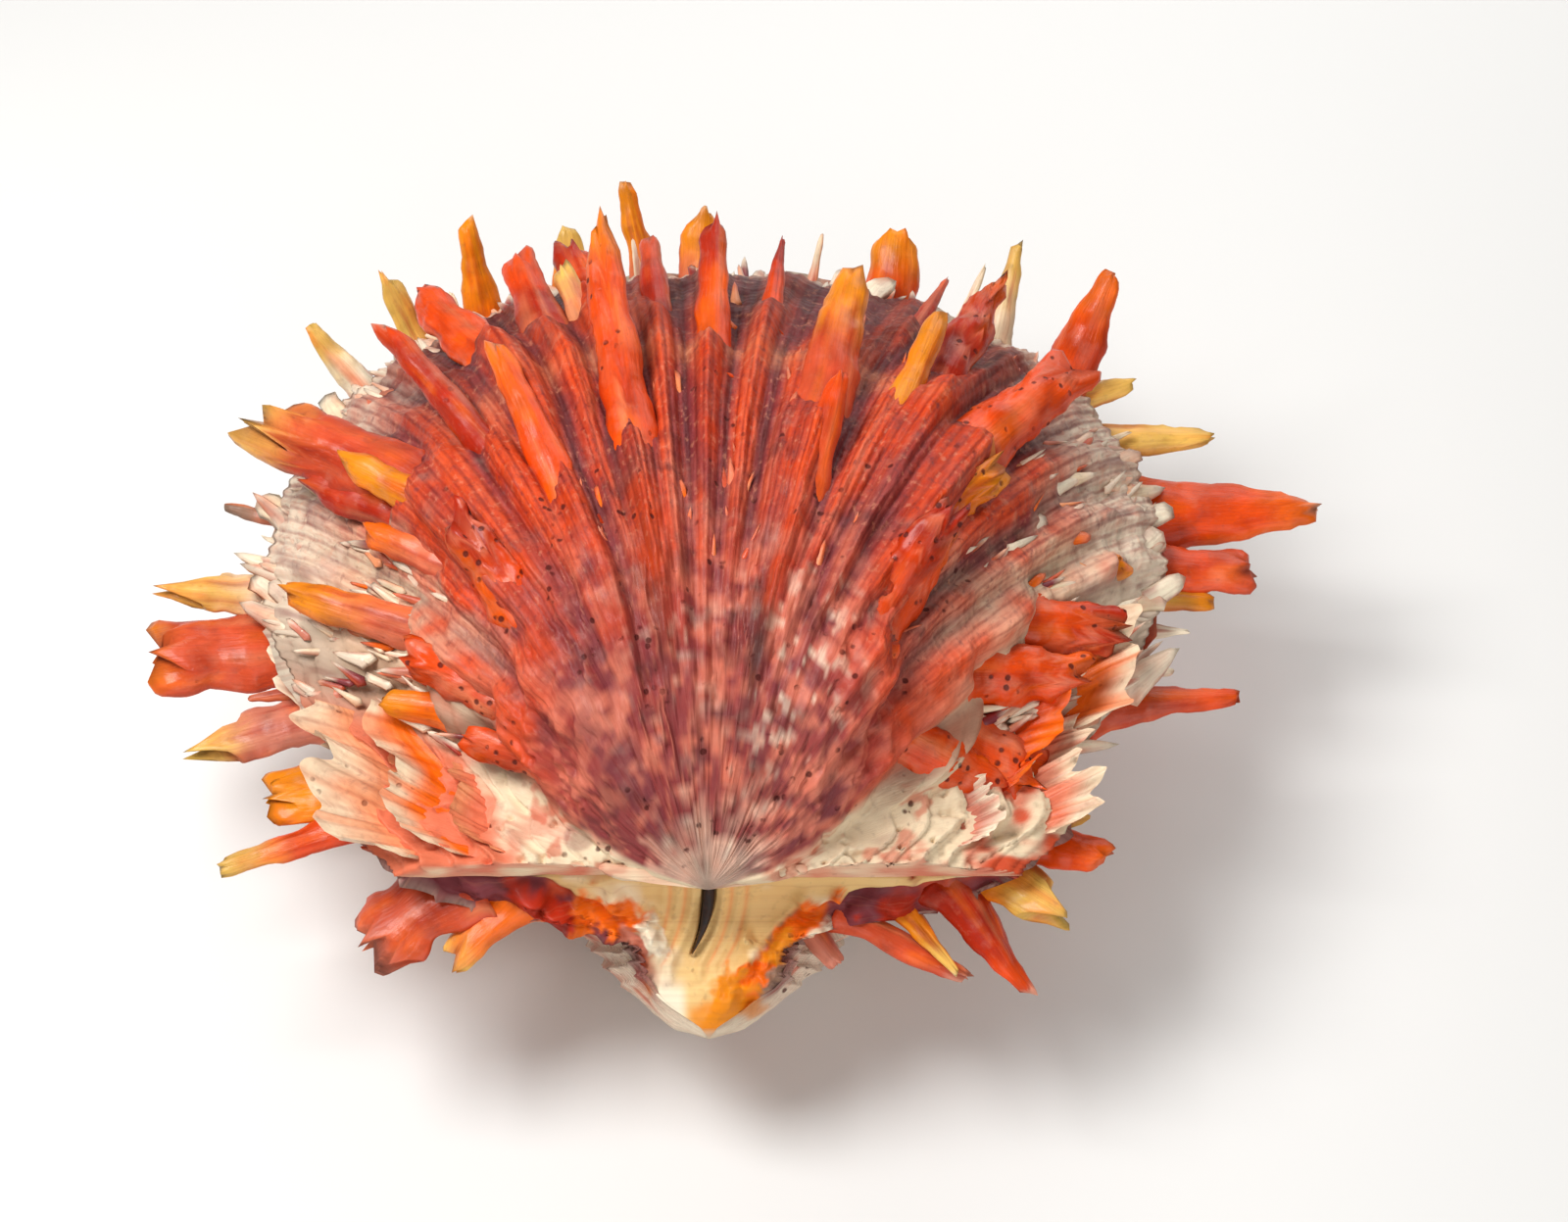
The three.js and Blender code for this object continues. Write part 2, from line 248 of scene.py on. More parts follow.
def growth_frame(valve, angle, growth):
    """Directions on a valve: along the growth, round the ribs, and outwards."""
    step, half_degree = 0.01, 0.5
    along = valve_point(valve, angle, growth + step) - valve_point(valve, angle, growth - step)
    along /= np.linalg.norm(along, axis=-1, keepdims=True)
    turn = valve_point(valve, angle + half_degree, growth) - valve_point(valve, angle - half_degree, growth)
    normal = np.cross(along, turn) * valve.sign
    normal /= np.linalg.norm(normal, axis=-1, keepdims=True)
    return along, turn, normal


# ---- spines ----
class Form(NamedTuple):
    """A kind of spine: how it narrows, how flat and arched it is, and how its tip is torn."""
    taper: float
    round_from: float
    thickness: float
    arch: float
    lobes: int = 0
    notch: float = 0.0


FORMS = {
    "spike": Form(0.8, 0.94, 0.62, 0.1),
    "blade": Form(0.34, 0.88, 0.46, 0.24, 1, 0.08),
    "stub": Form(0.22, 0.9, 0.46, 0.2, 2, 0.14),
    "horn": Form(0.72, 0.95, 0.42, 0.3),
    "ragged": Form(0.08, 0.92, 0.32, 0.32, 3, 0.24),
    "fork": Form(0.15, 0.92, 0.36, 0.2, 1, 0.4),
    "leaf": Form(0.0, 0.9, 0.16, 0.25, 3, 0.25),
}


class Spine(NamedTuple):
    """On the upper valve place is a rib counted from the middle, and on the lower an angle."""
    place: float
    growth: float
    length: float
    width: float
    form: str
    root: np.ndarray
    tip: np.ndarray
    lift: float = 12
    swing: float = 0
    curl: float = 0
    pits: float = 0
    tip_from: float = 0.6


UPPER_SPINES = [
    Spine(2, 0.42, 42, 6, "blade", VERMILION, AMBER, 10, 0, 2, 0.3, 0.82),
    Spine(2.2, 0.74, 18, 3.6, "stub", PEACH, STRAW, 18, 7),
    Spine(4.3, 0.40, 30, 4.4, "blade", VERMILION, ORANGE, 10, 0, 0, 0.1, 0.7),
    Spine(4, 0.74, 26, 7, "blade", VERMILION, VERMILION, 15, 11, 0, 0.3),
    Spine(3, 0.74, 24, 5.6, "stub", BRICK, VERMILION, 17, 0),
    Spine(5.2, 0.54, 31, 4.2, "blade", BRICK, VERMILION, 16, 4, 0, 0.1, 0.8),
    Spine(2, 0.84, 17, 6, "stub", VERMILION, BRICK, 24, 5),
    Spine(3, 0.92, 9, 2.2, "spike", BONE, CREAM, 20, 0),
    Spine(6.6, 0.60, 36, 9, "ragged", CORAL, STRAW, 20, 16, 0, 0, 0.78),
    Spine(6.4, 0.50, 26, 5.2, "blade", CORAL, AMBER, 16, 18, 0, 0, 0.5),
    Spine(7, 0.70, 11, 3.4, "spike", VERMILION, AMBER, 16, 20),
    Spine(7.3, 0.66, 20, 5.4, "stub", BRICK, BRICK, 20, 14, 0, 0.3),
    Spine(7.6, 0.54, 16, 4.4, "blade", SALMON, ORANGE, 15, 12),
    Spine(7.5, 0.31, 24, 6.6, "stub", VERMILION, BRICK, 15, -12, 0, 1),
    Spine(9.4, 0.36, 18, 6.4, "stub", CORAL, VERMILION, 18, 4, 0, 1),
    Spine(9, 0.56, 24, 5.2, "blade", SALMON, AMBER, 16, 14, 0, 0.1, 0.55),
    Spine(10.2, 0.28, 14, 4.4, "stub", CORAL, VERMILION, 17, 12, 0, 0.8),
    Spine(10.6, 0.58, 8, 4.2, "blade", ORANGE, AMBER, 24, 15),
    Spine(1, 0.74, 22, 3.8, "blade", BRICK, CORAL, 16),
    Spine(0, 0.62, 28, 4.6, "blade", VERMILION, BRICK, 18),
    Spine(-1, 0.74, 19, 3.2, "spike", VERMILION, BRICK, 18),
    Spine(-2.6, 0.52, 29, 6.6, "blade", CORAL, AMBER, 14, 2, 0, 0.1, 0.6),
    Spine(-3, 0.36, 24, 4.2, "blade", CORAL, VERMILION, 11),
    Spine(-3.4, 0.84, 16, 2.6, "spike", BRICK, CORAL, 16),
    Spine(-4.3, 0.58, 23, 3.8, "blade", AMBER, AMBER, 13, 6),
    Spine(-4.6, 0.68, 28, 6, "blade", BRICK, ORANGE, 16, 6, 0, 0.9, 0.8),
    Spine(-5.8, 0.63, 27, 8, "stub", VERMILION, VERMILION, 18, -6, 0, 0.8),
    Spine(-6.1, 0.48, 20, 6.6, "ragged", ORANGE, AMBER, 15, -8, 0, 1, 0.5),
    Spine(-7.3, 0.30, 25, 7, "stub", VERMILION, BRICK, 14, 12, 0, 1),
    Spine(-7.7, 0.20, 15, 5.4, "stub", BRICK, VERMILION, 12, 4, 0, 1),
    Spine(-9, 0.62, 19, 6.4, "ragged", VERMILION, BRICK, 18, -32, 0, 0.8),
    Spine(-9.3, 0.48, 22, 7, "stub", VERMILION, VERMILION, 18, -30, 0, 1),
    Spine(-9, 0.86, 4, 4, "stub", AMBER, AMBER, 20, 0, 0, 1),
    Spine(-9.6, 0.34, 22, 6, "stub", VERMILION, VERMILION, 16, -58, 0, 1),
    Spine(-11.2, 0.56, 13, 7, "ragged", VERMILION, VERMILION, 16, -50, 0, 1),
]

# place is an angle here, and swing the heading in the same degrees.
LOWER_SPINES = [
    Spine(109, 0.98, 19, 6, "horn", ORANGE, AMBER, 45, 106, 4, 0, 0.4),
    Spine(111, 0.97, 12, 3.2, "spike", SALMON, CREAM, 34, 108),
    Spine(114, 0.98, 17, 4.2, "blade", BONE, STRAW, 32, 126, 10, 0, 0.3),
    Spine(119, 0.98, 17, 6, "horn", BONE, STRAW, 22, 140, 6),
    Spine(126, 0.97, 9, 3.8, "spike", CHALK, BONE, 14, 150),
    Spine(102, 0.98, 15, 4.6, "blade", AMBER, STRAW, 44, 94),
    Spine(95, 0.98, 19, 5.6, "horn", SALMON, AMBER, 46, 108, 0, 0, 0.5),
    Spine(92, 0.98, 15, 6, "blade", SALMON, AMBER, 44, 84, 0, 0, 0.5),
    Spine(96, 0.98, 13, 2.4, "spike", CREAM, BONE, 44, 100),
    Spine(85, 0.98, 9, 2, "spike", CREAM, BONE, 30, 88),
    Spine(83, 0.98, 12, 2.4, "spike", BLUSH, CREAM, 30, 76),
    Spine(76, 0.98, 17, 8, "blade", VERMILION, AMBER, 28, 83, 0, 0, 0.6),
    Spine(71, 0.98, 14, 2.4, "spike", BONE, CREAM, 26, 60, 4),
    Spine(67, 0.98, 19, 5.4, "horn", CREAM, STRAW, 32, 72, 4),
    Spine(65, 0.97, 8, 3, "spike", CHALK, BONE, 20, 60),
    Spine(61, 0.98, 22, 9, "horn", VERMILION, ORANGE, 34, 54, 8, 0, 0.7),
    Spine(63, 0.97, 17, 5, "blade", AMBER, STRAW, 10, 15, 0, 0, 0.2),
    Spine(60, 0.97, 24, 5.2, "blade", AMBER, STRAW, 6, -4, 0, 0, 0.2),
    Spine(56, 0.98, 8, 2.2, "spike", BLUSH, CREAM, 12, 20),
    Spine(51.5, 0.97, 28, 13, "horn", VERMILION, ORANGE, 6, -2, -2, 0, 0.8),
    Spine(45, 0.97, 18, 7.4, "stub", VERMILION, CORAL, 3, -4, 0),
    Spine(42, 0.97, 12, 4, "blade", STRAW, AMBER, -6, -2, 0),
    Spine(38, 0.97, 8, 3, "spike", CHALK, BONE, 0, 0),
    Spine(34, 0.97, 7, 3, "spike", CHALK, BONE, 8, -10),
    Spine(31, 0.97, 16, 6, "horn", CORAL, VERMILION, 6, -2),
    Spine(15, 0.92, 13, 6, "stub", VERMILION, ORANGE, 2, -20, 0, 0, 0.8),
    Spine(8, 0.90, 13, 7.4, "fork", AMBER, STRAW, -2, -38, 0, 0, 0.4),
    Spine(3, 0.88, 15, 5.4, "horn", BRICK, VERMILION, -22, -52),
    Spine(2, 0.78, 10, 3.4, "spike", AMBER, STRAW, -12, -50),
    Spine(2, 0.69, 17, 3.6, "stub", CORAL, BONE, -14, -24, 0, 0, 0.85),
    Spine(2, 0.60, 6, 3, "stub", BLUSH, BLUSH, -20, -50),
    Spine(131, 0.97, 13, 4.2, "spike", SALMON, CLAY, 10, 172),
    Spine(134, 0.97, 7, 2.4, "spike", CHALK, BONE, 6, 160),
    Spine(138, 0.97, 20, 6.6, "fork", BONE, STRAW, 10, 184, 0, 0, 0.4),
    Spine(143, 0.97, 21, 11, "ragged", CORAL, AMBER, 6, 188, 0, 0.1, 0.85),
    Spine(148, 0.97, 8, 3, "spike", CLAY, BLUSH, 0, 190),
    Spine(150, 0.96, 19, 7.4, "fork", BLUSH, STRAW, -2, 198, 0, 0, 0.6),
    Spine(156, 0.95, 16, 7.4, "leaf", AMBER, AMBER, -2, 190),
    Spine(160, 0.94, 23, 6, "horn", VERMILION, STRAW, -4, 200, 0, 0, 0.75),
    Spine(174, 0.88, 14, 10, "leaf", CORAL, BLUSH, -20, 214, 0, 0, 0.8),
    Spine(178, 0.81, 11, 6, "fork", ORANGE, STRAW, -18, 226, 0, 0, 0.6),
]

SPINE_SIDES, SPINE_RINGS = 24, 30
SINK = 1.6
LOWER_ROOT_INSET, LOWER_ROOT_DEPTH = 1.7, 3.2


def grid(columns, rows):
    """A flat sheet whose x and y run from 0 to 1."""
    bm = bmesh.new()
    bmesh.ops.create_grid(bm, x_segments=columns, y_segments=rows, size=0.5)
    bmesh.ops.translate(bm, verts=bm.verts, vec=(0.5, 0.5, 0))
    return bm


def sheet_parameters(bm):
    bm.verts.ensure_lookup_table()
    flat = np.array([v.co[:2] for v in bm.verts])
    return flat[:, 0], flat[:, 1]


def spine_frame(valve, spine):
    """Root of a spine, the way it points along the shell, and outwards."""
    if valve is UPPER:
        angle = np.array([90 + spine.place * RIB_STEP])
    else:
        angle = np.array([spine.place])
    growth = np.array([spine.growth])
    root = valve_point(valve, angle, growth)[0]
    if valve is LOWER:
        heading = math.radians(spine.swing)
        along = np.array([math.cos(heading), math.sin(heading), 0.0])
        inward = -root * (1, 1, 0) / np.linalg.norm(root[:2])
        root = root + inward * LOWER_ROOT_INSET
        root[2] = min(root[2], -LOWER_ROOT_DEPTH)
        return root, along, np.array([0.0, 0.0, 1.0])
    along, _, normal = (direction[0] for direction in growth_frame(valve, angle, growth))
    side = np.cross(normal, along)
    swing = math.radians(spine.swing)
    return root, along * math.cos(swing) + side * math.sin(swing), normal


def spine_surface(valve, spine, seed, around, along):
    """Places a closed spine: around its section, and along it from the sunk root to the tip."""
    form = FORMS[spine.form]
    root, heading, normal = spine_frame(valve, spine)
    steps = np.linspace(0, 1, 60)
    rising = np.radians(spine.lift) * smooth(0, 0.3, steps) + np.radians(spine.curl) * steps * 2
    direction = np.cos(rising)[:, None] * heading + np.sin(rising)[:, None] * normal
    whole = spine.length + SINK * 2
    path = np.cumsum(direction, axis=0) * whole / len(steps)
    path += root - heading * SINK * 2 - normal * spine.width * form.thickness * 0.2
    turn = around * 2 * np.pi
    across = np.cos(turn)
    lobes = np.abs(np.cos(across * np.pi / 2 * form.lobes + seed)) if form.lobes else 1.0
    reach = 1 - form.notch * lobes * smooth(0.2, 1, along)
    torn = noise(np.stack([across * 2, turn * 0, turn * 0 + seed], -1), 1.0)
    torn += 0.7 * noise(np.stack([across * 6, np.sin(turn), turn * 0 + seed], -1), 1.0, 3)
    reach = reach * (1 - (0.05 + 0.05 * spine.pits) * (1 + torn))
    t = along * reach
    centre = np.stack([np.interp(t, steps, path[:, k]) for k in range(3)], -1)
    ahead = np.stack([np.interp(t, steps, direction[:, k]) for k in range(3)], -1)
    ahead /= np.linalg.norm(ahead, axis=-1, keepdims=True)
    side = np.cross(ahead, normal)
    side /= np.linalg.norm(side, axis=-1, keepdims=True)
    up = np.cross(side, ahead)
    closing = np.sqrt(1 - np.clip((along - form.round_from) / (1 - form.round_from), 0, 1) ** 2)
    flare = 1 + 0.7 * np.exp(-along / 0.12)
    width = spine.width / 2 * np.maximum(1 - form.taper * along**1.5, 0.08) * flare * closing
    wander = noise(np.stack([along * whole / 5, along * 0 + seed, along * 0], -1), 1.0)
    width = width * (1 + 0.12 * wander)
    ridges = 1 + 0.09 * np.cos(turn * 7 + seed * 3) + 0.06 * np.cos(turn * 11 + seed)
    thick = width * form.thickness * ridges
    lift = thick * np.sin(turn) - form.arch * width * across**2
    point = centre + side * (width * across)[:, None] + up * lift[:, None]
    bite = np.minimum(spine.width * 0.06, 0.4) * (1 + 0.8 * spine.pits)
    rough = bite * (noise(point, 1.1, seed) * 0.5 + noise(point, 2.8, seed))
    point += (up * np.sin(turn)[:, None] + side * across[:, None]) * (rough * closing)[:, None]
    return point, across * spine.width / 2, t * whole


def keep_in_box(points):
    """Holds every point just inside the CAD's own box."""
    low = np.array(CAD_BOX[0]) / MM - HINGE + BOX_MARGIN
    high = np.array(CAD_BOX[1]) / MM - HINGE - BOX_MARGIN
    return np.clip(points, low, high)


def spine_tone(spine, point, across, along, seed):
    whole = spine.length + SINK * 2
    share = along / whole + noise(point, 2.5, seed) * 0.06 + noise(point, 0.9, seed) * 0.04
    tone = blend(spine.root, spine.tip, smooth(spine.tip_from - 0.15, spine.tip_from + 0.2, share))
    tone = blend(tone, BONE, smooth(0.93, 1.02, share) * 0.4)
    drawn = streaks(across, along, 0.7, 9, seed)
    tone = blend(tone, BRICK, smooth(0.1, 0.5, drawn) * 0.6 * (1 - smooth(0.6, 0.9, share)))
    worn = smooth(0.1, 0.5, noise(point, 1.6, seed + 7) + 0.6 * noise(point, 0.7, seed + 8)) * spine.pits
    tone = blend(tone, SALMON, worn * 0.6)
    tone = blend(tone, ORANGE, smooth(0.2, 0.6, streaks(across, along, 1.3, 6, seed + 9)) * 0.45)
    # Pale peach streaks along the spine, heaviest at the root: partly its own pale base and partly a painted
    # highlight.
    tone = blend(tone, PEACH, smooth(0.3, 0.6, streaks(across, along, 0.8, 12, seed + 5)) * 0.5 * (1 - share))
    return tone * (1 + 0.26 * noise(point, 1.7, seed + 3))[:, None]


SKIN_ROWS = ("tone", "grain", "marks")
WELD = 1e-7


def make_piece(name, parts, material):
    """Joins sheets into one piece in the row frame. Each part is a bmesh, its points and skin rows."""
    mesh = bpy.data.meshes.new(name)
    whole = bmesh.new()
    for key in SKIN_ROWS:
        whole.verts.layers.float_vector.new(key)
    for bm, points, rows in parts:
        places = (keep_in_box(points) + HINGE) * MM
        layers = {key: bm.verts.layers.float_vector.new(key) for key in SKIN_ROWS}
        for index, vert in enumerate(bm.verts):
            vert.co = places[index]
            for key in layers:
                vert[layers[key]] = rows[key][index]
        bmesh.ops.remove_doubles(bm, verts=bm.verts, dist=WELD)
        bmesh.ops.dissolve_degenerate(bm, edges=bm.edges, dist=WELD)
        bmesh.ops.recalc_face_normals(bm, faces=bm.faces)
        spare = bpy.data.meshes.new("spare")
        bm.to_mesh(spare)
        bm.free()
        whole.from_mesh(spare)
        bpy.data.meshes.remove(spare)
    for face in whole.faces:
        face.smooth = True
    whole.to_mesh(mesh)
    whole.free()
    mesh.materials.append(material)
    piece = bpy.data.objects.new(name, mesh)
    bpy.context.scene.collection.objects.link(piece)
    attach(piece, "root")
    return piece


def rows_of(tone, across, along, seed, gloss, pits, lines):
    """What the material reads at each point: colour, place on the shell, and gloss, pits and lines."""
    count = len(across)
    marks = [np.broadcast_to(np.asarray(m, float), (count,)) for m in (gloss, pits, lines)]
    return {
        "tone": np.clip(np.broadcast_to(tone, (count, 3)), 0, 1),
        "grain": np.stack([across, along, np.full(count, float(seed))], -1),
        "marks": np.stack(marks, -1),
    }


def close_ends(points, along):
    for end in (along < END, along > 1 - END):
        points[end] = points[end].mean(axis=0)


def spine_part(valve, spine, seed, sides=SPINE_SIDES, rings=SPINE_RINGS):
    bm = grid(sides, rings)
    around, along = sheet_parameters(bm)
    points, across, mm_along = spine_surface(valve, spine, seed, around, along)
    close_ends(points, along)
    tone = spine_tone(spine, points, across, mm_along, seed)
    return bm, points, rows_of(tone, across * 1.4, mm_along, seed, 1.0, spine.pits, 0.16)


# ---- frills ----
class Frill(NamedTuple):
    """A leafy edge from one place on a valve to another: (angle, growth) at each end."""
    start: tuple
    end: tuple
    length: float
    lift: float
    scallops: float
    root: np.ndarray
    tip: np.ndarray
    depth: float = 0.3


UPPER_FRILLS = [
    Frill((152, 0.86), (179, 0.84), 11, 24, 5, PEACH, CREAM, 0.16),
    Frill((150, 0.72), (178, 0.72), 7, 26, 5, ORANGE, CREAM, 0.16),
    Frill((154, 0.60), (176, 0.61), 4, 30, 4, SALMON, PEACH, 0.2),
    Frill((38, 0.80), (25, 0.88), 8, 34, 3, ORANGE, CREAM, 0.35),
    Frill((32, 0.70), (17, 0.80), 7, 32, 3, VERMILION, ORANGE, 0.35),
    Frill((27, 0.84), (8, 0.92), 8, 24, 4, SALMON, CREAM, 0.3),
    Frill((22, 0.66), (5, 0.74), 4, 28, 5, BLUSH, BONE),
]


def frill_part(valve, frill, seed, columns=72, rows=12):
    bm = grid(columns, rows)
    bmesh.ops.solidify(bm, geom=bm.faces, thickness=0.01)
    bm.verts.ensure_lookup_table()
    place = np.array([v.co[:] for v in bm.verts])
    u, v, top = place[:, 0], place[:, 1], place[:, 2] > 0.004
    u, v = np.clip(u, 0, 1), np.clip(v, 0, 1)
    angle = frill.start[0] + (frill.end[0] - frill.start[0]) * u
    growth = frill.start[1] + (frill.end[1] - frill.start[1]) * u
    root = valve_point(valve, angle, growth)
    along, turn, normal = growth_frame(valve, angle, growth)
    wander = 0.35 * noise(np.stack([u * 5, u * 0 + seed, u * 0], -1), 1.0)
    phase = (u + wander / frill.scallops) * frill.scallops
    tooth = 1 - np.abs(2 * (phase % 1) - 1) ** 1.3
    ends = smooth(0, 0.15, u) * smooth(0, 0.15, 1 - u)
    uneven = 1 + 0.22 * noise(np.stack([u * 7, u * 0 + seed, u * 0], -1), 1.0, 1)
    reach = frill.length * (1 - frill.depth * (1 - tooth)) * (0.4 + 0.6 * ends) * uneven
    rising = np.radians(frill.lift) * (0.5 + 0.7 * v)
    direction = along * np.cos(rising)[:, None] + normal * np.sin(rising)[:, None]
    point = root + direction * (reach * v - 1.5 * (1 - v))[:, None]
    ripple = (0.16 * frill.length * tooth + 0.2 * np.cos(phase * 19)) * smooth(0, 0.6, v)
    thick = (0.9 - 0.5 * v) * np.where(top, 0.5, -0.5)
    over = np.cross(direction, turn / np.linalg.norm(turn, axis=-1, keepdims=True)) * valve.sign
    point += over * (ripple + thick)[:, None]
    share = v + 0.14 * noise(point, 2.2, seed)
    tone = blend(frill.root, frill.tip, smooth(0.35, 0.95, share))
    rays = noise(np.stack([phase * 4, v * 0.6, u * 0 + seed], -1), 1.0, 2)
    tone = blend(tone, frill.root, smooth(0.1, 0.5, rays) * 0.6)
    tone = tone * (1 + 0.14 * noise(point, 1.5, seed))[:, None]
    return bm, point, rows_of(tone, phase * 3, v * frill.length, seed, 0.6, 0.15, 0.4)


# ---- the valves' own surfaces ----
def buttresses(valve, angle, growth, spines):
    """Ridges of shell that run up to the root of each spine: how high, and how coloured."""
    relief, stain = np.zeros_like(angle), np.zeros_like(angle)
    for spine in spines:
        at = 90 + spine.place * RIB_STEP if valve is UPPER else spine.place
        radius = margin_radius(np.array([at]))[0]
        across = np.radians(angle - at) * radius * np.maximum(growth, 0.1)
        along = (growth - spine.growth) * radius
        ramp = smooth(-1.1 * spine.length, 0, along) * (1 - smooth(0, 0.3 * spine.length, along))
        ridge = bump(0, 0.42 * spine.width, across) * ramp
        relief = np.maximum(relief, 0.5 * spine.width * ridge)
        stain = np.maximum(stain, smooth(0.25, 0.7, ridge))
    return relief, stain


def veins(rib, growth, base):
    """Low branching ridges on the worn part near the beak, 0 to 1."""
    bent = rib * growth * 5 + 0.9 * noise(base, 4, 50)
    return (1 - np.abs(streaks(bent, growth * RIB_LENGTH, 0.9, 6, 51))) ** 5


def upper_relief(angle, growth, base):
    rib = (angle - 90) / RIB_STEP
    side = side_angle(angle)
    fan = smooth(32, 38, side)
    wander = noise(base, 18) * 0.3 + noise(base, 6, 10) * 0.06
    strength = smooth(0.04, 0.5, growth)
    worn = 1 - smooth(0.2, 0.5, growth)
    main_ribs = (0.5 + 0.5 * np.cos(2 * np.pi * (rib + wander))) ** 1.6
    riblets = 0.5 + 0.5 * np.cos(2 * np.pi * (rib * RIBLETS + wander * 3))
    own = 0.55 + 0.45 * noise(np.stack([np.round(rib) * 1.7, rib * 0, rib * 0], -1), 1.0, 8)
    broken = (0.65 + 0.5 * noise(base, 5, 9)) * (0.3 + 0.7 * smooth(40, 58, side))
    relief = fan * strength * (2.1 * own * main_ribs + 0.3 * smooth(0.2, 0.5, growth) * broken * riblets)
    relief += 0.5 * noise(base, 11, 1) + 0.3 * noise(base, 3.4, 2) + 0.16 * noise(base, 1.4, 3)
    relief += worn * (0.25 * noise(base, 2.2, 28) + 0.12 * noise(base, 0.9, 29))
    relief -= worn * 0.5 * smooth(0.5, 0.8, noise(base, 1.3, 30))
    relief += fan * worn * smooth(0.03, 0.12, growth) * 0.55 * veins(rib, growth, base)
    beads = noise(np.stack([rib * RIBLETS, growth * 46, growth * 0], -1), 1.0, 4)
    relief += fan * 0.26 * beads
    crust = (1 - smooth(42, 60, side + 8 * noise(base, 9, 21))) * smooth(0.4, 0.7, growth)
    relief += crust * (0.9 * noise(base, 4.5, 22) + 0.5 * np.abs(noise(base, 1.6, 23)))
    for ledge in (0.3, 0.52, 0.67, 0.8, 0.9, 0.955):
        edge = growth - ledge + 0.008 * noise(base, 6, 5)
        relief += 0.35 * smooth(-0.05, 0, edge) * (1 - smooth(0, 0.006, edge))
    ear = 1 - smooth(24, 30, side)
    steps = (growth * 9 + 0.4 * noise(base, 7, 6)) % 1.0
    relief += ear * smooth(0.3, 0.5, growth) * 0.7 * steps**2
    relief += ear * (0.35 * noise(base, 2.2, 45) - 0.8 * smooth(0.45, 0.75, noise(base, 1.2, 46)))
    valley = bump(31, 4, side) * smooth(0.15, 0.5, growth)
    relief -= 1.2 * valley
    frayed = smooth(0.92, 1, growth)
    relief += frayed * (0.5 * riblets - 0.3 + 0.5 * noise(base, 1.8, 7))
    return relief + buttresses(UPPER, angle, growth, UPPER_SPINES)[0]


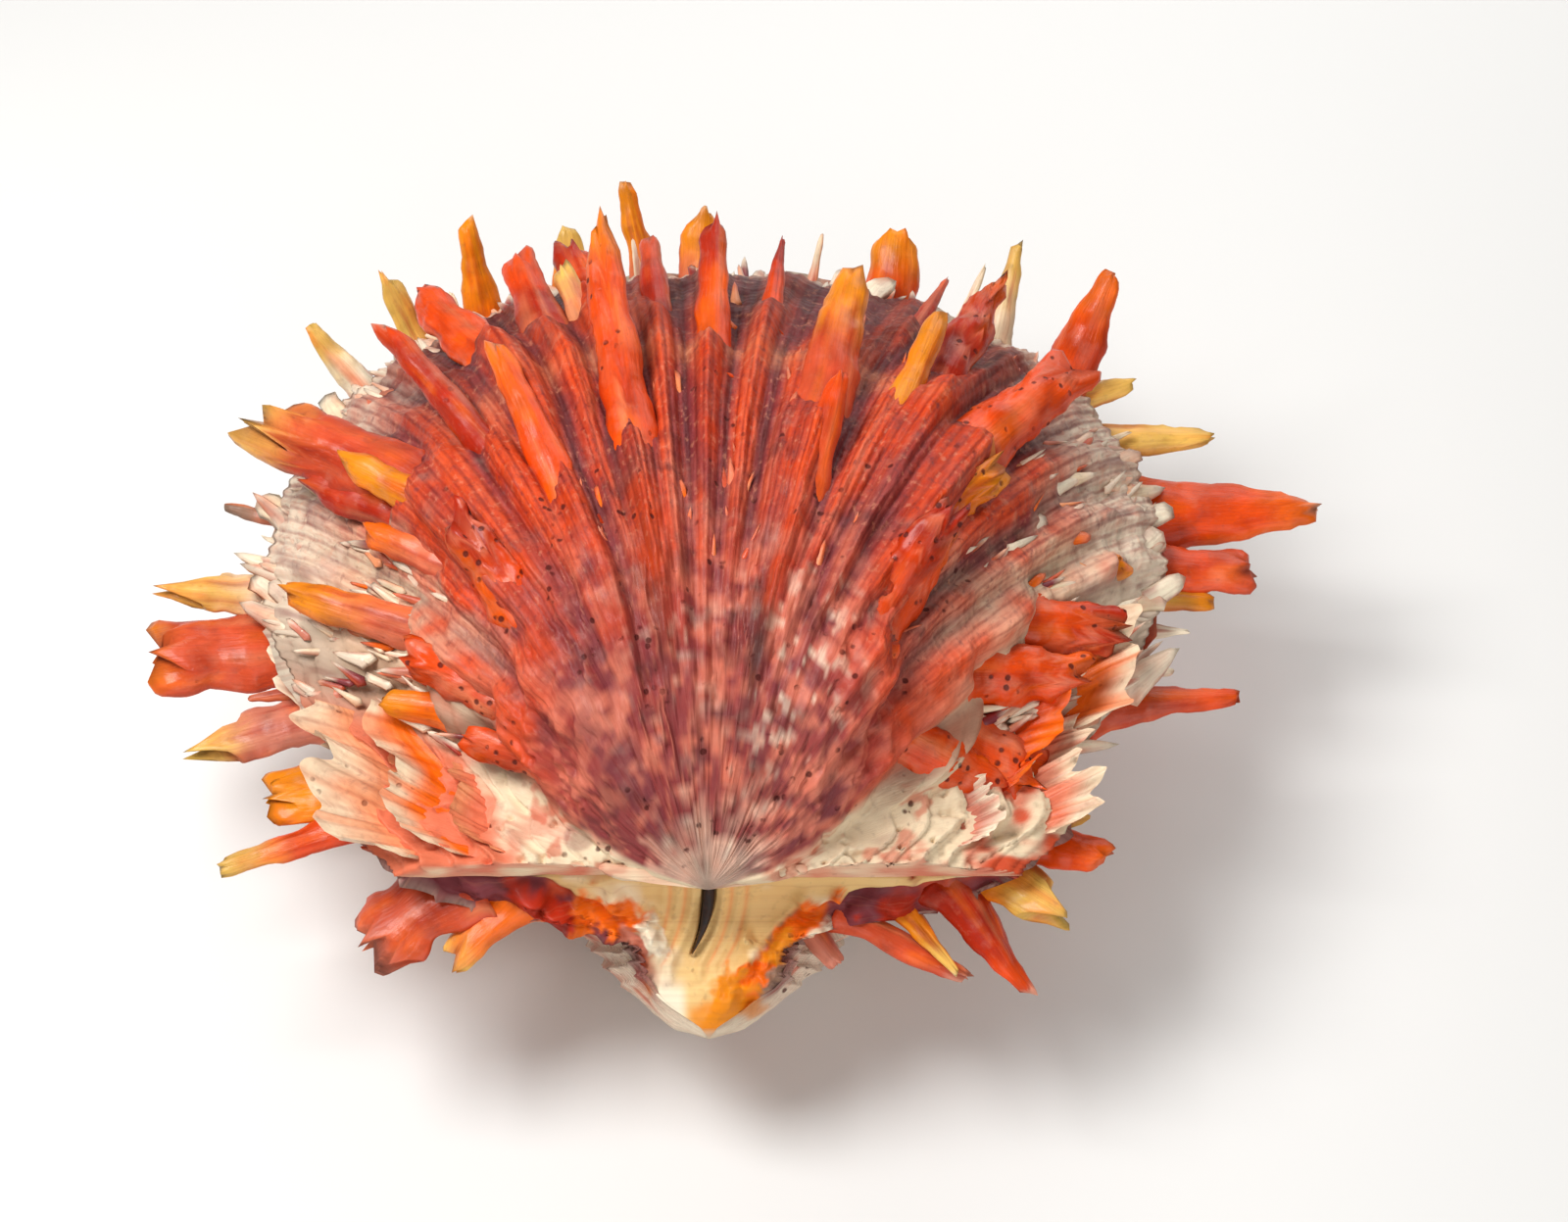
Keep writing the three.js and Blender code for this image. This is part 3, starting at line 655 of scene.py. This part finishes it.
def upper_tone(angle, growth, base):
    rib = (angle - 90) / RIB_STEP
    side = side_angle(angle)
    along = growth * RIB_LENGTH
    long_streak = streaks(rib * RIBLETS, along, 2.4, 26, 1)
    fine_streak = streaks(rib * RIBLETS, along, 0.9, 7, 2)
    mottle = noise(base, 3.2, 3) + 0.5 * noise(base, 1.4, 4)
    wander = noise(base, 18) * 0.3 + noise(base, 6, 10) * 0.06
    groove = 1 - (0.5 + 0.5 * np.cos(2 * np.pi * (rib + wander))) ** 0.7
    tone = blend(CORAL, SALMON, smooth(-0.2, 0.8, fine_streak) * 0.7)
    tone = blend(tone, MAUVE, smooth(0.0, 0.5, long_streak) * 0.75)
    tone = blend(tone, MAUVE, smooth(0.25, 0.8, groove) * 0.85 * smooth(0.1, 0.4, growth))
    tone = blend(tone, PLUM, smooth(0.7, 1.0, groove + 0.3 * fine_streak) * 0.6 * smooth(0.2, 0.5, growth))
    red_streak = smooth(0.1, 0.5, streaks(rib * RIBLETS, along, 1.2, 14, 6))
    tone = blend(tone, VERMILION, red_streak * (1 - groove) * 0.6)
    outer = smooth(0.60, 0.84, growth + 0.05 * long_streak) * smooth(52, 66, side)
    tone = blend(tone, PLUM, outer * (0.7 + 0.3 * fine_streak))
    tone = blend(tone, PEACH, bump(0.66, 0.025, growth + 0.012 * mottle) * smooth(55, 75, side) * 0.4)
    grain = noise(base, 1.7, 40) + 0.6 * noise(base, 0.8, 41)
    # The mauve is pushed up on the umbo's left side as painted shade; the rest is the shell's own mottle.
    umbo = blend(DUSTY_PINK, MAUVE, smooth(-0.6, 0.4, grain + 0.5 * mottle + 0.3 * bump(112, 22, angle)))
    umbo = blend(umbo, BLUSH, smooth(0.35, 0.9, veins(rib, growth, base)) * 0.5)
    tone = blend(tone, umbo, (1 - smooth(0.14, 0.5, growth + 0.08 * mottle)) * 0.85)
    beside = bump(64, 14, angle) + 0.3 * bump(100, 16, angle)
    patch = smooth(0.3, 0.7, noise(base, 1.5, 31) + 0.6 * noise(base, 0.6, 32)) * beside
    tone = blend(tone, BONE, patch * bump(0.2, 0.12, growth) * 0.6)
    dark = smooth(0.3, 0.6, noise(base, 3.1, 33) + 0.3 * noise(base, 1.0, 34))
    tone = blend(tone, PLUM, dark * (1 - smooth(0.4, 0.7, growth)) * 0.5)
    grimy = bump(75.5, 2.6, angle) * bump(0.2, 0.08, growth)
    grimy += bump(102.5, 2.2, angle) * bump(0.3, 0.13, growth)
    tone = blend(tone, GRIME, grimy * 0.85)
    crown = (1 - smooth(0.02, 0.07, growth + 0.03 * grain)) * (0.6 + 0.4 * patch)
    tone = blend(tone, CHALK, crown * 0.85)
    flank = 1 - smooth(38, 54, side + 5 * mottle)
    tone = blend(tone, CREAM, flank * smooth(0.3, 0.6, growth + 0.06 * mottle) * 0.8)
    lateral = smooth(0.76, 0.92, growth + 0.03 * mottle) * (1 - smooth(52, 64, side + 4 * mottle))
    tone = blend(tone, CHALK, lateral * 0.9)
    tone = blend(tone, MAUVE, lateral * smooth(0.2, 0.5, fine_streak) * 0.6)
    tone = blend(tone, CHALK, smooth(0.935, 0.985, growth + 0.02 * mottle) * 0.85)
    stain = buttresses(UPPER, angle, growth, UPPER_SPINES)[1]
    tone = blend(tone, VERMILION, stain * (0.5 + 0.4 * mottle) * smooth(0.16, 0.34, growth))
    ear = 1 - smooth(26, 32, side)
    ear_tone = blend(CREAM, BLUSH, smooth(0.0, 0.7, mottle + 0.4 * fine_streak) * 0.6)
    blotch = noise(base, 2.4, 42) + 0.4 * noise(base, 0.9, 43)
    ear_tone = blend(ear_tone, CORAL, smooth(0.35, 0.6, blotch) * 0.6)
    near_beak = 1 - smooth(0.3, 0.6, growth)
    ear_tone = blend(ear_tone, MAUVE, smooth(0.3, 0.6, noise(base, 4, 44)) * 0.45 * near_beak)
    left = angle > 90
    ear_tone = blend(ear_tone, SALMON, np.where(left, smooth(0.5, 0.7, growth + 0.05 * mottle), 0))
    ear_tone = blend(ear_tone, CORAL, np.where(left, 0, smooth(0.5, 0.9, growth) * smooth(0, 0.6, mottle)))
    tone = blend(tone, ear_tone, ear)
    # Brown-grey painted shade down the valley between each ear and the dome, where the relief dips.
    return blend(tone, CLAY, bump(31, 4, side) * smooth(0.2, 0.5, growth) * 0.7)


UPPER_GRID, LOWER_GRID = (690, 128, 9), (660, 120, 9)


def shell_sheet(columns, outer_rows, inner_rows):
    """Parameters of a closed cup: around, growth, and how far back inside it, from 0 to 1."""
    bm = grid(columns, outer_rows + inner_rows)
    around, run = sheet_parameters(bm)
    share = outer_rows / (outer_rows + inner_rows)
    growth = np.clip(run / share, 0, 1)
    inside = np.clip((run - share) / (1 - share), 0, 1)
    return bm, around, growth, inside


CUP_CENTRE = np.array([0.0, OUTLINE_CENTRE])
CUP_RADII = np.array([42.0, 39.0])
CUP_DEPTH = 0.6
RIM_SHARE = 0.12


def cup_point(valve, around, inside):
    """The smooth hollow, from the level rim to the deepest point."""
    rim = ring_point(valve, around, np.ones_like(around))[:, :2] - CUP_CENTRE
    direction = rim / np.linalg.norm(rim, axis=-1, keepdims=True)
    radius = 1 / np.linalg.norm(direction / CUP_RADII, axis=-1, keepdims=True)
    depth = CUP_DEPTH * valve.depth
    near = (1 - inside)[:, None]
    z = valve.sign * (HALF_GAP + depth * (1 - (1 - inside) ** 2) ** 0.8)
    return np.concatenate([CUP_CENTRE + direction * radius * near, z[:, None]], -1)


def valve_surface(valve, around, growth, inside, relief):
    """The outside with its relief, then the level rim and the hollow inside."""
    base = ring_point(valve, around, growth)
    normal = outward(valve, around, growth)
    push = normal * relief[:, None]
    push[:, 2] *= 1 - smooth(0.9, 1, growth)
    point = base + push
    level = valve.sign * HALF_GAP
    point[:, 2] = np.maximum(point[:, 2], level) if valve.sign > 0 else np.minimum(point[:, 2], level)
    hollow = cup_point(valve, around, (inside - RIM_SHARE) / (1 - RIM_SHARE) * (inside > RIM_SHARE))
    rim = smooth(0, RIM_SHARE, inside)[:, None]
    outer_edge = point * (1, 1, 0) + np.array([0, 0, level])
    inner = np.where(inside[:, None] > RIM_SHARE, hollow, outer_edge * (1 - rim) + hollow * rim)
    return np.where(inside[:, None] > 0, inner, point)


def weld_poles(points, around, growth, inside):
    """Closes the beak, the deepest point inside, and the seam."""
    for pole in (growth < END, inside > 1 - END):
        points[pole] = points[pole].mean(axis=0)
    start, seam = around < END, around > 1 - END
    order_a = np.lexsort((growth[start], inside[start]))
    order_b = np.lexsort((growth[seam], inside[seam]))
    first, last = np.flatnonzero(start)[order_a], np.flatnonzero(seam)[order_b]
    points[last] = points[first]
    return points


def upper_shell():
    bm, around, growth, inside = shell_sheet(*UPPER_GRID)
    angle = fan_angle(around)
    base = ring_point(UPPER, around, growth)
    relief = upper_relief(angle, growth, base) * smooth(0, 0.04, growth)
    relief *= np.where(around > 1 - HINGE_SHARE, 0.2, 1)
    points = weld_poles(valve_surface(UPPER, around, growth, inside, relief), around, growth, inside)
    tone = upper_tone(angle, growth, base)
    at_back = (around > 1 - HINGE_SHARE) * (0.8 + 0.3 * noise(base, 3, 35))
    tone = blend(tone, blend(CREAM, BLUSH, 0.5 + 0.8 * noise(base, 2, 36)), at_back)
    tone = blend(tone, BONE, inside * 3)
    side = side_angle(angle)
    lines = smooth(34, 48, side) * smooth(0.1, 0.5, growth) * (1 - inside)
    pits = (1 - smooth(0.3, 0.75, growth)) * 0.5 * (1 - inside)
    rib = (angle - 90) / RIB_STEP * RIBLETS
    return bm, points, rows_of(tone, rib, growth * RIB_LENGTH, 0, 0.35, pits, lines)


class Lump(NamedTuple):
    """A knob on the hinge face: x, distance down from the hinge line, height, radius and colour."""
    x: float
    down: float
    height: float
    radius: float
    tone: np.ndarray


FACE_LUMPS = (
    Lump(-9.2, 5.2, 2.2, 2.0, ORANGE), Lump(-12.0, 5.6, 2.8, 2.4, ORANGE),
    Lump(-15.0, 6.8, 2.8, 2.4, ORANGE),
    Lump(-6.4, 7.6, 2.4, 1.7, BONE), Lump(-8.6, 7.8, 1.6, 1.6, BLUSH), Lump(-11.4, 7.8, 1.6, 1.6, MAUVE),
    Lump(-17.6, 4.4, 2.8, 2.2, BRICK), Lump(-20.6, 3.4, 2.8, 2.2, BRICK), Lump(-25.0, 2.4, 2.4, 2.2, MAUVE),
    Lump(11.6, 4.6, 2.4, 2.0, ORANGE), Lump(9.0, 7.0, 2.6, 2.3, ORANGE), Lump(12.0, 7.4, 3.2, 1.9, BONE),
    Lump(7.2, 9.6, 2.6, 2.5, AMBER), Lump(5.0, 12.0, 2.2, 2.6, ORANGE), Lump(8.0, 12.0, 1.4, 2.0, CLAY),
    Lump(2.0, 14.5, 1.6, 2.6, AMBER), Lump(16.5, 6.4, 1.8, 2.4, MAUVE), Lump(21.0, 4.6, 2.0, 2.4, BRICK),
)
SLIT_HALF, SLIT_START, SLIT_END, SLIT_HOOK = 0.7, 0.6, 9.5, 2.2


def slit_middle(down):
    return -SLIT_HOOK * np.clip((down - 1) / (SLIT_END - 1), 0, 1.1) ** 2.4


def slit_half(down):
    return SLIT_HALF * (1 - 0.8 * smooth(3.4, SLIT_END, down))


def beyond_face(x, down):
    """0 on the cream hinge face and 1 outside its curved edges."""
    left = np.interp(down, (0, 2, 5, 9, 13), (19, 16, 9, 6.4, 6))
    right = np.interp(down, (0, 2, 4, 8, 13), (30, 17, 10.5, 6, 3))
    return smooth(-0.8, 1.2, np.where(x < 0, -x - left, x - right) + 0.25 * np.sin(x * 1.7 + down))


def lump_distance(lump, x, down, base):
    lean = 0.5 * (x - lump.x) * np.sign(lump.x)
    away = np.hypot(x - lump.x, down - lump.down + lean)
    return away * (1 + 0.5 * noise(base, 2.1, 26)) + 0.5 * np.abs(noise(base, 0.9, 39))


def lower_relief(angle, growth, base, on_face):
    rib = (angle - 90) / RIB_STEP
    wander = noise(base, 14, 8) * 0.2
    relief = 0.7 * (0.5 + 0.5 * np.cos(2 * np.pi * (rib + wander))) * growth
    relief += 0.9 * noise(base, 10, 9) + 0.35 * noise(base, 3.6, 10) + 0.15 * noise(base, 1.5, 11)
    steps = (growth * 11 + 0.5 * noise(base, 9, 12)) % 1.0
    relief += 0.9 * steps**2 * smooth(0.1, 0.3, growth)
    x, down = base[:, 0], np.hypot(base[:, 1], base[:, 2])
    outside = beyond_face(x, down)
    face = 0.18 * noise(base, 3, 13) + 0.06 * noise(base, 1, 14)
    face += outside * (0.9 * noise(base, 2.6, 24) + 0.4 * noise(base, 1.1, 25) - 1.2)
    for lump in FACE_LUMPS:
        away = lump_distance(lump, x, down, base)
        face += lump.height * bump(0, lump.radius, away)
    off = np.abs(x - slit_middle(down))
    near_slit = smooth(0, 1, down) * (1 - smooth(11, 13, down))
    lips = 0.5 * bump(1.7, 0.6, off) + 0.28 * bump(3.4, 0.5, off) + 0.2 * bump(5.0, 0.5, off)
    face += near_slit * lips
    half = slit_half(down)
    slit = (1 - smooth(half - 0.15, half + 0.2, off)) * (1 - smooth(SLIT_END - 1, SLIT_END, down))
    face = face * smooth(0, 0.8, down) - 1.8 * slit
    return np.where(on_face, face, relief)


def lower_tone(angle, growth, base, on_face):
    side = side_angle(angle)
    mottle = noise(base, 4, 15) + 0.5 * noise(base, 1.6, 16)
    streak = streaks((angle - 90) / RIB_STEP * 3, growth * RIB_LENGTH, 2.0, 18, 5)
    tone = blend(CHALK, BLUSH, smooth(0, 0.6, mottle) * 0.6)
    tone = blend(tone, CORAL, smooth(0.1, 0.6, streak) * 0.75)
    tone = blend(tone, BRICK, smooth(0.3, 0.8, streak + 0.5 * mottle) * 0.5)
    tone = blend(tone, MAUVE, (1 - smooth(6, 24, side)) * 0.7)
    scar = 1 - smooth(FLOOR + 0.3, FLOOR + 1.5, base[:, 2])
    tone = blend(tone, CHALK, scar * 0.8)
    tone = blend(tone, BONE, (1 - smooth(0.04, 0.14, growth)) * 0.9)
    tone = blend(tone, AMBER, (1 - smooth(0.05, 0.2, growth)) * smooth(-0.2, 0.4, mottle) * 0.8)
    x, down = base[:, 0], np.hypot(base[:, 1], base[:, 2])
    off = np.abs(x - slit_middle(down))
    face = blend(IVORY, BONE, smooth(-0.2, 0.6, mottle) * 0.6)
    for line in (2.6, 4.3):
        face = blend(face, ORANGE, bump(line, 0.22, off) * 0.4 * (1 - smooth(9, 12, down)))
    rough = blend(MAUVE, CORAL, smooth(-0.3, 0.5, mottle))
    rough = blend(rough, PLUM, smooth(0.1, 0.6, noise(base, 2.2, 27)) * 0.7)
    face = blend(face, rough, beyond_face(x, down))
    for lump in FACE_LUMPS:
        spot = bump(0, lump.radius * 1.3, lump_distance(lump, x, down, base))
        grainy = lump.tone * (1 + 0.3 * noise(base, 1.1, 37))[:, None]
        face = blend(face, grainy, smooth(0.34, 0.6, spot + 0.2 * noise(base, 0.9, 38)))
    tip = smooth(11, 13.5, down + 0.5 * mottle)
    face = blend(face, blend(BONE, CHALK, smooth(0, 0.4, mottle)), tip * (1 - smooth(-3.5, -2, x)))
    face = blend(face, AMBER, smooth(13, 15, down + mottle) * smooth(-3, -1.5, x) * 0.85)
    # Painted shade: the slit's walls around the sunk ligament are painted almost black.
    slit = (1 - smooth(0.7, 1.2, off / slit_half(down))) * (1 - smooth(8.5, 9.8, down))
    face = blend(face, SLIT_SHADE, slit)
    return np.where(on_face[:, None], face, tone)


def lower_around(share):
    """Gives the lower valve's hinge face more columns, and its middle the most."""
    split = 0.72
    over = np.clip((share - split) / (1 - split), 0, 1)
    centred = 2 * over - 1
    eased = 0.5 + 0.5 * np.sign(centred) * np.abs(centred) ** 1.9
    on_ribs = share / split * (1 - HINGE_SHARE)
    return np.where(share < split, on_ribs, 1 - HINGE_SHARE + HINGE_SHARE * eased)


def lower_shell():
    bm, share, growth, inside = shell_sheet(*LOWER_GRID)
    around = lower_around(share)
    angle = fan_angle(around)
    base = ring_point(LOWER, around, growth)
    on_face = around > 1 - HINGE_SHARE + 1e-9
    relief = lower_relief(angle, growth, base, on_face) * smooth(0, 0.05, growth)
    points = valve_surface(LOWER, around, growth, inside, relief)
    points[:, 2] = np.maximum(points[:, 2], FLOOR)
    points = weld_poles(points, around, growth, inside)
    tone = blend(lower_tone(angle, growth, points, on_face), BONE, inside * 3)
    pits = np.where(on_face, 0.15, 0.4) * (1 - inside)
    rib = (angle - 90) / RIB_STEP * RIBLETS
    lines = np.where(on_face, 0.1, 0.6) * (1 - inside)
    return bm, points, rows_of(tone, rib, growth * RIB_LENGTH, 0, np.where(on_face, 0.3, 0.25), pits, lines)


# ---- materials ----
class Signal:
    """A node socket that takes part in arithmetic."""
    def __init__(self, recipe, socket):
        self.recipe, self.socket = recipe, socket

    def maths(self, operation, *inputs):
        return self.recipe.add("ShaderNodeMath", {"operation": operation}, dict(enumerate(inputs)))

    def __add__(self, other):
        return self.maths("ADD", self, other)

    def __sub__(self, other):
        return self.maths("SUBTRACT", self, other)

    def __rsub__(self, other):
        return self.maths("SUBTRACT", other, self)

    def __mul__(self, other):
        return self.maths("MULTIPLY", self, other)

    __radd__ = __add__
    __rmul__ = __mul__

    def sine(self):
        return self.maths("SINE", self)

    def between(self, low, high):
        """0 at low and 1 at high, clamped."""
        inputs = {"Value": self, "From Min": low, "From Max": high}
        return self.recipe.add("ShaderNodeMapRange", {"clamp": True}, inputs)


class Recipe:
    """One material and its nodes."""
    def __init__(self, name):
        self.material = bpy.data.materials.new(name)
        self.material.use_nodes = True
        self.tree = self.material.node_tree
        self.shader = self.tree.nodes["Principled BSDF"]

    def add(self, kind, settings=None, inputs=None, output=0):
        node = self.tree.nodes.new(kind)
        for key, value in (settings or {}).items():
            setattr(node, key, value)
        for key, value in (inputs or {}).items():
            self.feed(node.inputs[key], value)
        return Signal(self, node.outputs[output])

    def feed(self, socket, value):
        if isinstance(value, Signal):
            self.tree.links.new(value.socket, socket)
        else:
            socket.default_value = value

    def mix(self, first, second, factor, kind="MIX"):
        """Colours mixed by a mask."""
        inputs = {"Factor": factor, 6: first, 7: second}
        return self.add("ShaderNodeMix", {"data_type": "RGBA", "blend_type": kind}, inputs, 2)

    def noise(self, vector, scale, detail, roughness=0.5):
        inputs = {"Vector": vector, "Scale": scale, "Detail": detail, "Roughness": roughness}
        return self.add("ShaderNodeTexNoise", {}, inputs, 0)

    def stretched(self, vector, factors):
        return self.add("ShaderNodeVectorMath", {"operation": "MULTIPLY"}, {0: vector, 1: factors})

    def attribute(self, name, output="Vector"):
        return self.add("ShaderNodeAttribute", {"attribute_name": name}, {}, output)

    def split(self, vector):
        node = self.add("ShaderNodeSeparateXYZ", {}, {0: vector}).socket.node
        return [Signal(self, node.outputs[k]) for k in range(3)]

    def finish(self, **inputs):
        for key, value in inputs.items():
            self.feed(self.shader.inputs[key.replace("_", " ")], value)
        return self.material


def colour(tone):
    return (*tone, 1.0)


def shell_material():
    """Shell with fine threads, fibres, flakes, growth rings and bore holes over the painted tone."""
    r = Recipe("ribbed_shell")
    tone = r.attribute("tone", "Color")
    grain = r.attribute("grain")
    gloss, pits, lines = r.split(r.attribute("marks"))
    across, along, _ = r.split(grain)
    place = r.add("ShaderNodeTexCoord", {}, {}, "Object")
    thread = ((across * (2 * math.pi)).sine() * 0.5 + 0.5)
    dark_line = (1 - thread).between(0.62, 1.0) * lines
    fibre = r.noise(r.stretched(grain, (2.6, 0.35, 3.0)), 1.0, 4.0)
    flake = r.noise(r.stretched(grain, (1.1, 0.75, 3.0)), 1.0, 5.0, 0.65)
    speck = r.noise(place, 900.0, 3.0)
    cloud = r.noise(place, 260.0, 4.0)
    cells = r.add("ShaderNodeTexVoronoi", {"feature": "F1"}, {"Vector": place, "Scale": 620.0}, "Distance")
    bored = (r.noise(place, 210.0, 1.0) + pits * 0.22).between(0.66, 0.72)
    hole = (1 - cells.between(0.16, 0.26)) * bored * pits.between(0.0, 0.25)
    skin = r.mix(tone, colour(THREAD_TINT), dark_line * 0.45, "MULTIPLY")
    streak = fibre.between(0.42, 0.68) * (lines * 0.55 + 0.08)
    skin = r.mix(skin, colour(FIBRE_TINT), streak, "MULTIPLY")
    skin = r.mix(skin, colour(BONE), cloud.between(0.6, 0.78) * 0.08)
    skin = r.mix(skin, colour(FLAKE_TINT), flake.between(0.56, 0.66) * (lines * 0.26 + 0.05))
    skin = r.mix(skin, colour(STAIN_TINT), (1 - flake).between(0.56, 0.68) * (lines * 0.5 + 0.06))
    skin = r.mix(skin, colour(DUST_TINT), speck.between(0.6, 0.75) * 0.22)
    skin = r.mix(skin, colour(HOLE_TINT), hole * 0.85)
    rings = ((along * 5.2 + fibre * 4.0).sine() * 0.5 + 0.5)
    height = thread * lines * 0.4 + flake * lines * 0.9 + fibre * 0.5 + rings * lines * 0.3
    height = height + speck * 0.2 + cloud * 0.3 - hole * 1.6
    relief = r.add("ShaderNodeBump", {}, {"Strength": 0.55, "Distance": 0.00035, "Height": height}, "Normal")
    rough = 0.62 - gloss * 0.32 + fibre * 0.14 + hole * 0.3
    return r.finish(Base_Color=skin, Roughness=rough, Normal=relief, Specular_IOR_Level=0.22,
                    Coat_Weight=gloss * 0.14, Coat_Roughness=0.16)


def ligament_material():
    r = Recipe("dry_ligament")
    place = r.add("ShaderNodeTexCoord", {}, {}, "Object")
    fibre = r.noise(place, 1500.0, 4.0)
    brown = r.mix(colour(DARK_HORN), colour(BROWN_HORN), fibre.between(0.35, 0.75))
    relief = r.add("ShaderNodeBump", {}, {"Strength": 0.5, "Distance": 0.0002, "Height": fibre}, "Normal")
    return r.finish(Base_Color=brown, Roughness=0.55 + fibre * 0.3, Normal=relief)


def ligament_part():
    """A flat strip with a rounded back, sunk in the slit and hooked like it."""
    bm = grid(16, 60)
    around, along = sheet_parameters(bm)
    turn = around * 2 * np.pi
    down = SLIT_START + (SLIT_END - 0.4 - SLIT_START) * along
    closing = np.sqrt(np.clip(1 - np.abs(2 * along - 1) ** 8, 0, 1))
    half = (slit_half(down) - 0.08) * closing
    sunk = -1.1 + 0.5 * closing * np.sin(turn) + 0.12 * noise(np.stack([turn, down, down * 0], -1), 1.0)
    x = slit_middle(down) + half * np.cos(turn)
    slope = np.array([0, -1, -1]) / math.sqrt(2)
    out = np.array([0, -1, 1]) / math.sqrt(2)
    points = x[:, None] * (1, 0, 0) + down[:, None] * slope + sunk[:, None] * out
    close_ends(points, along)
    return bm, points, rows_of(PLUM, x, down, 0, 0, 0, 0)


def floor_material():
    return Recipe("pale_floor").finish(Base_Color=(0.78, 0.77, 0.75, 1), Roughness=0.6)


# ---- making the pieces ----
SHELL = shell_material()

upper = make_piece("upper_shell", [upper_shell()], SHELL)
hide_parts("upper_valve")
upper_growths = [spine_part(UPPER, s, 1.0 + n) for n, s in enumerate(UPPER_SPINES)]
upper_growths += [frill_part(UPPER, f, 60.0 + n) for n, f in enumerate(UPPER_FRILLS)]
upper_spines = make_piece("upper_spines", upper_growths, SHELL)
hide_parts("upper_valve")

chance = np.random.default_rng(12)


def scales(count, ribs, growths, length, palette):
    """Small sharp scales scattered over the ribs."""
    made = []
    for n in range(count):
        rib = round(ribs[0] + chance.random() * (ribs[1] - ribs[0])) + (chance.random() - 0.5) * 0.8
        growth = growths[0] + chance.random() * (growths[1] - growths[0])
        size = length * (0.5 + chance.random())
        tone = palette[chance.integers(len(palette))]
        lift, swing = 4 + chance.random() * 22, (chance.random() - 0.5) * 40
        broad = size * (0.3 + 0.35 * chance.random())
        form = ("spike", "leaf", "horn")[chance.integers(3)]
        scale = Spine(rib, growth, size, broad, form, tone, palette[0], lift, swing)
        made.append(spine_part(UPPER, scale, 300.0 + n, 8, 6))
    return made


flecks = scales(220, (-10, 10), (0.3, 0.92), 1.7, (SALMON, PEACH, CORAL, ORANGE))
flecks += scales(90, (7.5, 11.5), (0.5, 0.97), 2.2, (CHALK, CREAM, BONE, BLUSH, MAUVE))
flecks += scales(110, (-11.5, -6.5), (0.5, 0.98), 2.2, (CHALK, CREAM, BONE, BLUSH, MAUVE))
flecks += scales(90, (-8, 8), (0.93, 1.0), 2.4, (CHALK, BONE, MAUVE))
flecks += scales(40, (-12, 12), (0.95, 1.0), 5.0, (CHALK, BONE, CREAM))
upper_scales = make_piece("upper_scales", flecks, SHELL)
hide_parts("upper_valve")

lower = make_piece("lower_shell", [lower_shell()], SHELL)
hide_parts("lower_valve")
lower_growths = [spine_part(LOWER, s, 101.0 + n) for n, s in enumerate(LOWER_SPINES)]
lower_spines = make_piece("lower_spines", lower_growths, SHELL)
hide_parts("lower_valve")

lamellae = []
for level in (0.5, 0.64, 0.78, 0.9, 0.97):
    at = 8.0 + chance.random() * 6
    while at < 170:
        wide = 6 + chance.random() * 9
        length = 2.5 + chance.random() * 3.5
        tips = (CREAM, BLUSH, CORAL, BONE, STRAW)
        tip = tips[chance.integers(len(tips))]
        root = (CHALK, BLUSH, CORAL)[chance.integers(3)]
        ends = (at, level + chance.random() * 0.02), (min(at + wide, 174), level - chance.random() * 0.02)
        lamellae.append(Frill(*ends, length, 18, 1 + wide / 5, root, tip, 0.5))
        at += wide * (0.8 + chance.random() * 0.7)
lower_leaves = [frill_part(LOWER, f, 200.0 + n, 22, 6) for n, f in enumerate(lamellae)]
lower_frills = make_piece("lower_frills", lower_leaves, SHELL)
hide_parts("lower_valve")

ligament = make_piece("ligament", [ligament_part()], ligament_material())
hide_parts("hinge_ligament")

# ---- stage, light and camera ----
CAMERA_AIM = np.array([8.4, 30.0, 10.0])
CAMERA_ELEVATION = 51.0
CAMERA_DISTANCE = 424.0
LENS, SENSOR = 85, 36
SKY_LIGHT = 0.2
FLOOR_SIZE = 3
LAMPS = (
    ("key", (-170, 30, 320), 1.5, 0.18),
    ("fill", (120, -300, 170), 0.75, 0.35),
    ("rim", (120, 330, 200), 0.6, 0.3),
)


def to_frame(millimetres):
    return Vector((np.asarray(millimetres, float) + HINGE) * MM)


def aim(obj, target):
    """Turns a lamp or camera to look at a place."""
    obj.rotation_euler = (target - obj.location).to_track_quat("-Z", "Y").to_euler()


def studio():
    scene = bpy.context.scene
    scene.view_settings.view_transform = "Standard"
    world = bpy.data.worlds.new("soft_room")
    world.use_nodes = True
    world.node_tree.nodes["Background"].inputs["Color"].default_value = (1, 0.99, 0.97, 1)
    world.node_tree.nodes["Background"].inputs["Strength"].default_value = SKY_LIGHT
    scene.world = world
    floor = bpy.data.meshes.new("floor")
    bm = bmesh.new()
    bmesh.ops.create_grid(bm, x_segments=1, y_segments=1, size=FLOOR_SIZE)
    bm.to_mesh(floor)
    bm.free()
    floor.materials.append(floor_material())
    ground = bpy.data.objects.new("floor", floor)
    scene.collection.objects.link(ground)
    middle = to_frame(CAMERA_AIM)
    for name, place, power, size in LAMPS:
        light = bpy.data.lights.new(name, "AREA")
        light.energy, light.size = power, size
        lamp = bpy.data.objects.new(name, light)
        scene.collection.objects.link(lamp)
        lamp.location = to_frame(place)
        aim(lamp, middle)
    lens = bpy.data.cameras.new("camera")
    lens.lens, lens.sensor_width = LENS, SENSOR
    camera = bpy.data.objects.new("camera", lens)
    scene.collection.objects.link(camera)
    back = math.radians(CAMERA_ELEVATION)
    offset = np.array([0, -math.cos(back), math.sin(back)]) * CAMERA_DISTANCE
    camera.location = to_frame(CAMERA_AIM + offset)
    aim(camera, middle)
    scene.camera = camera


studio()
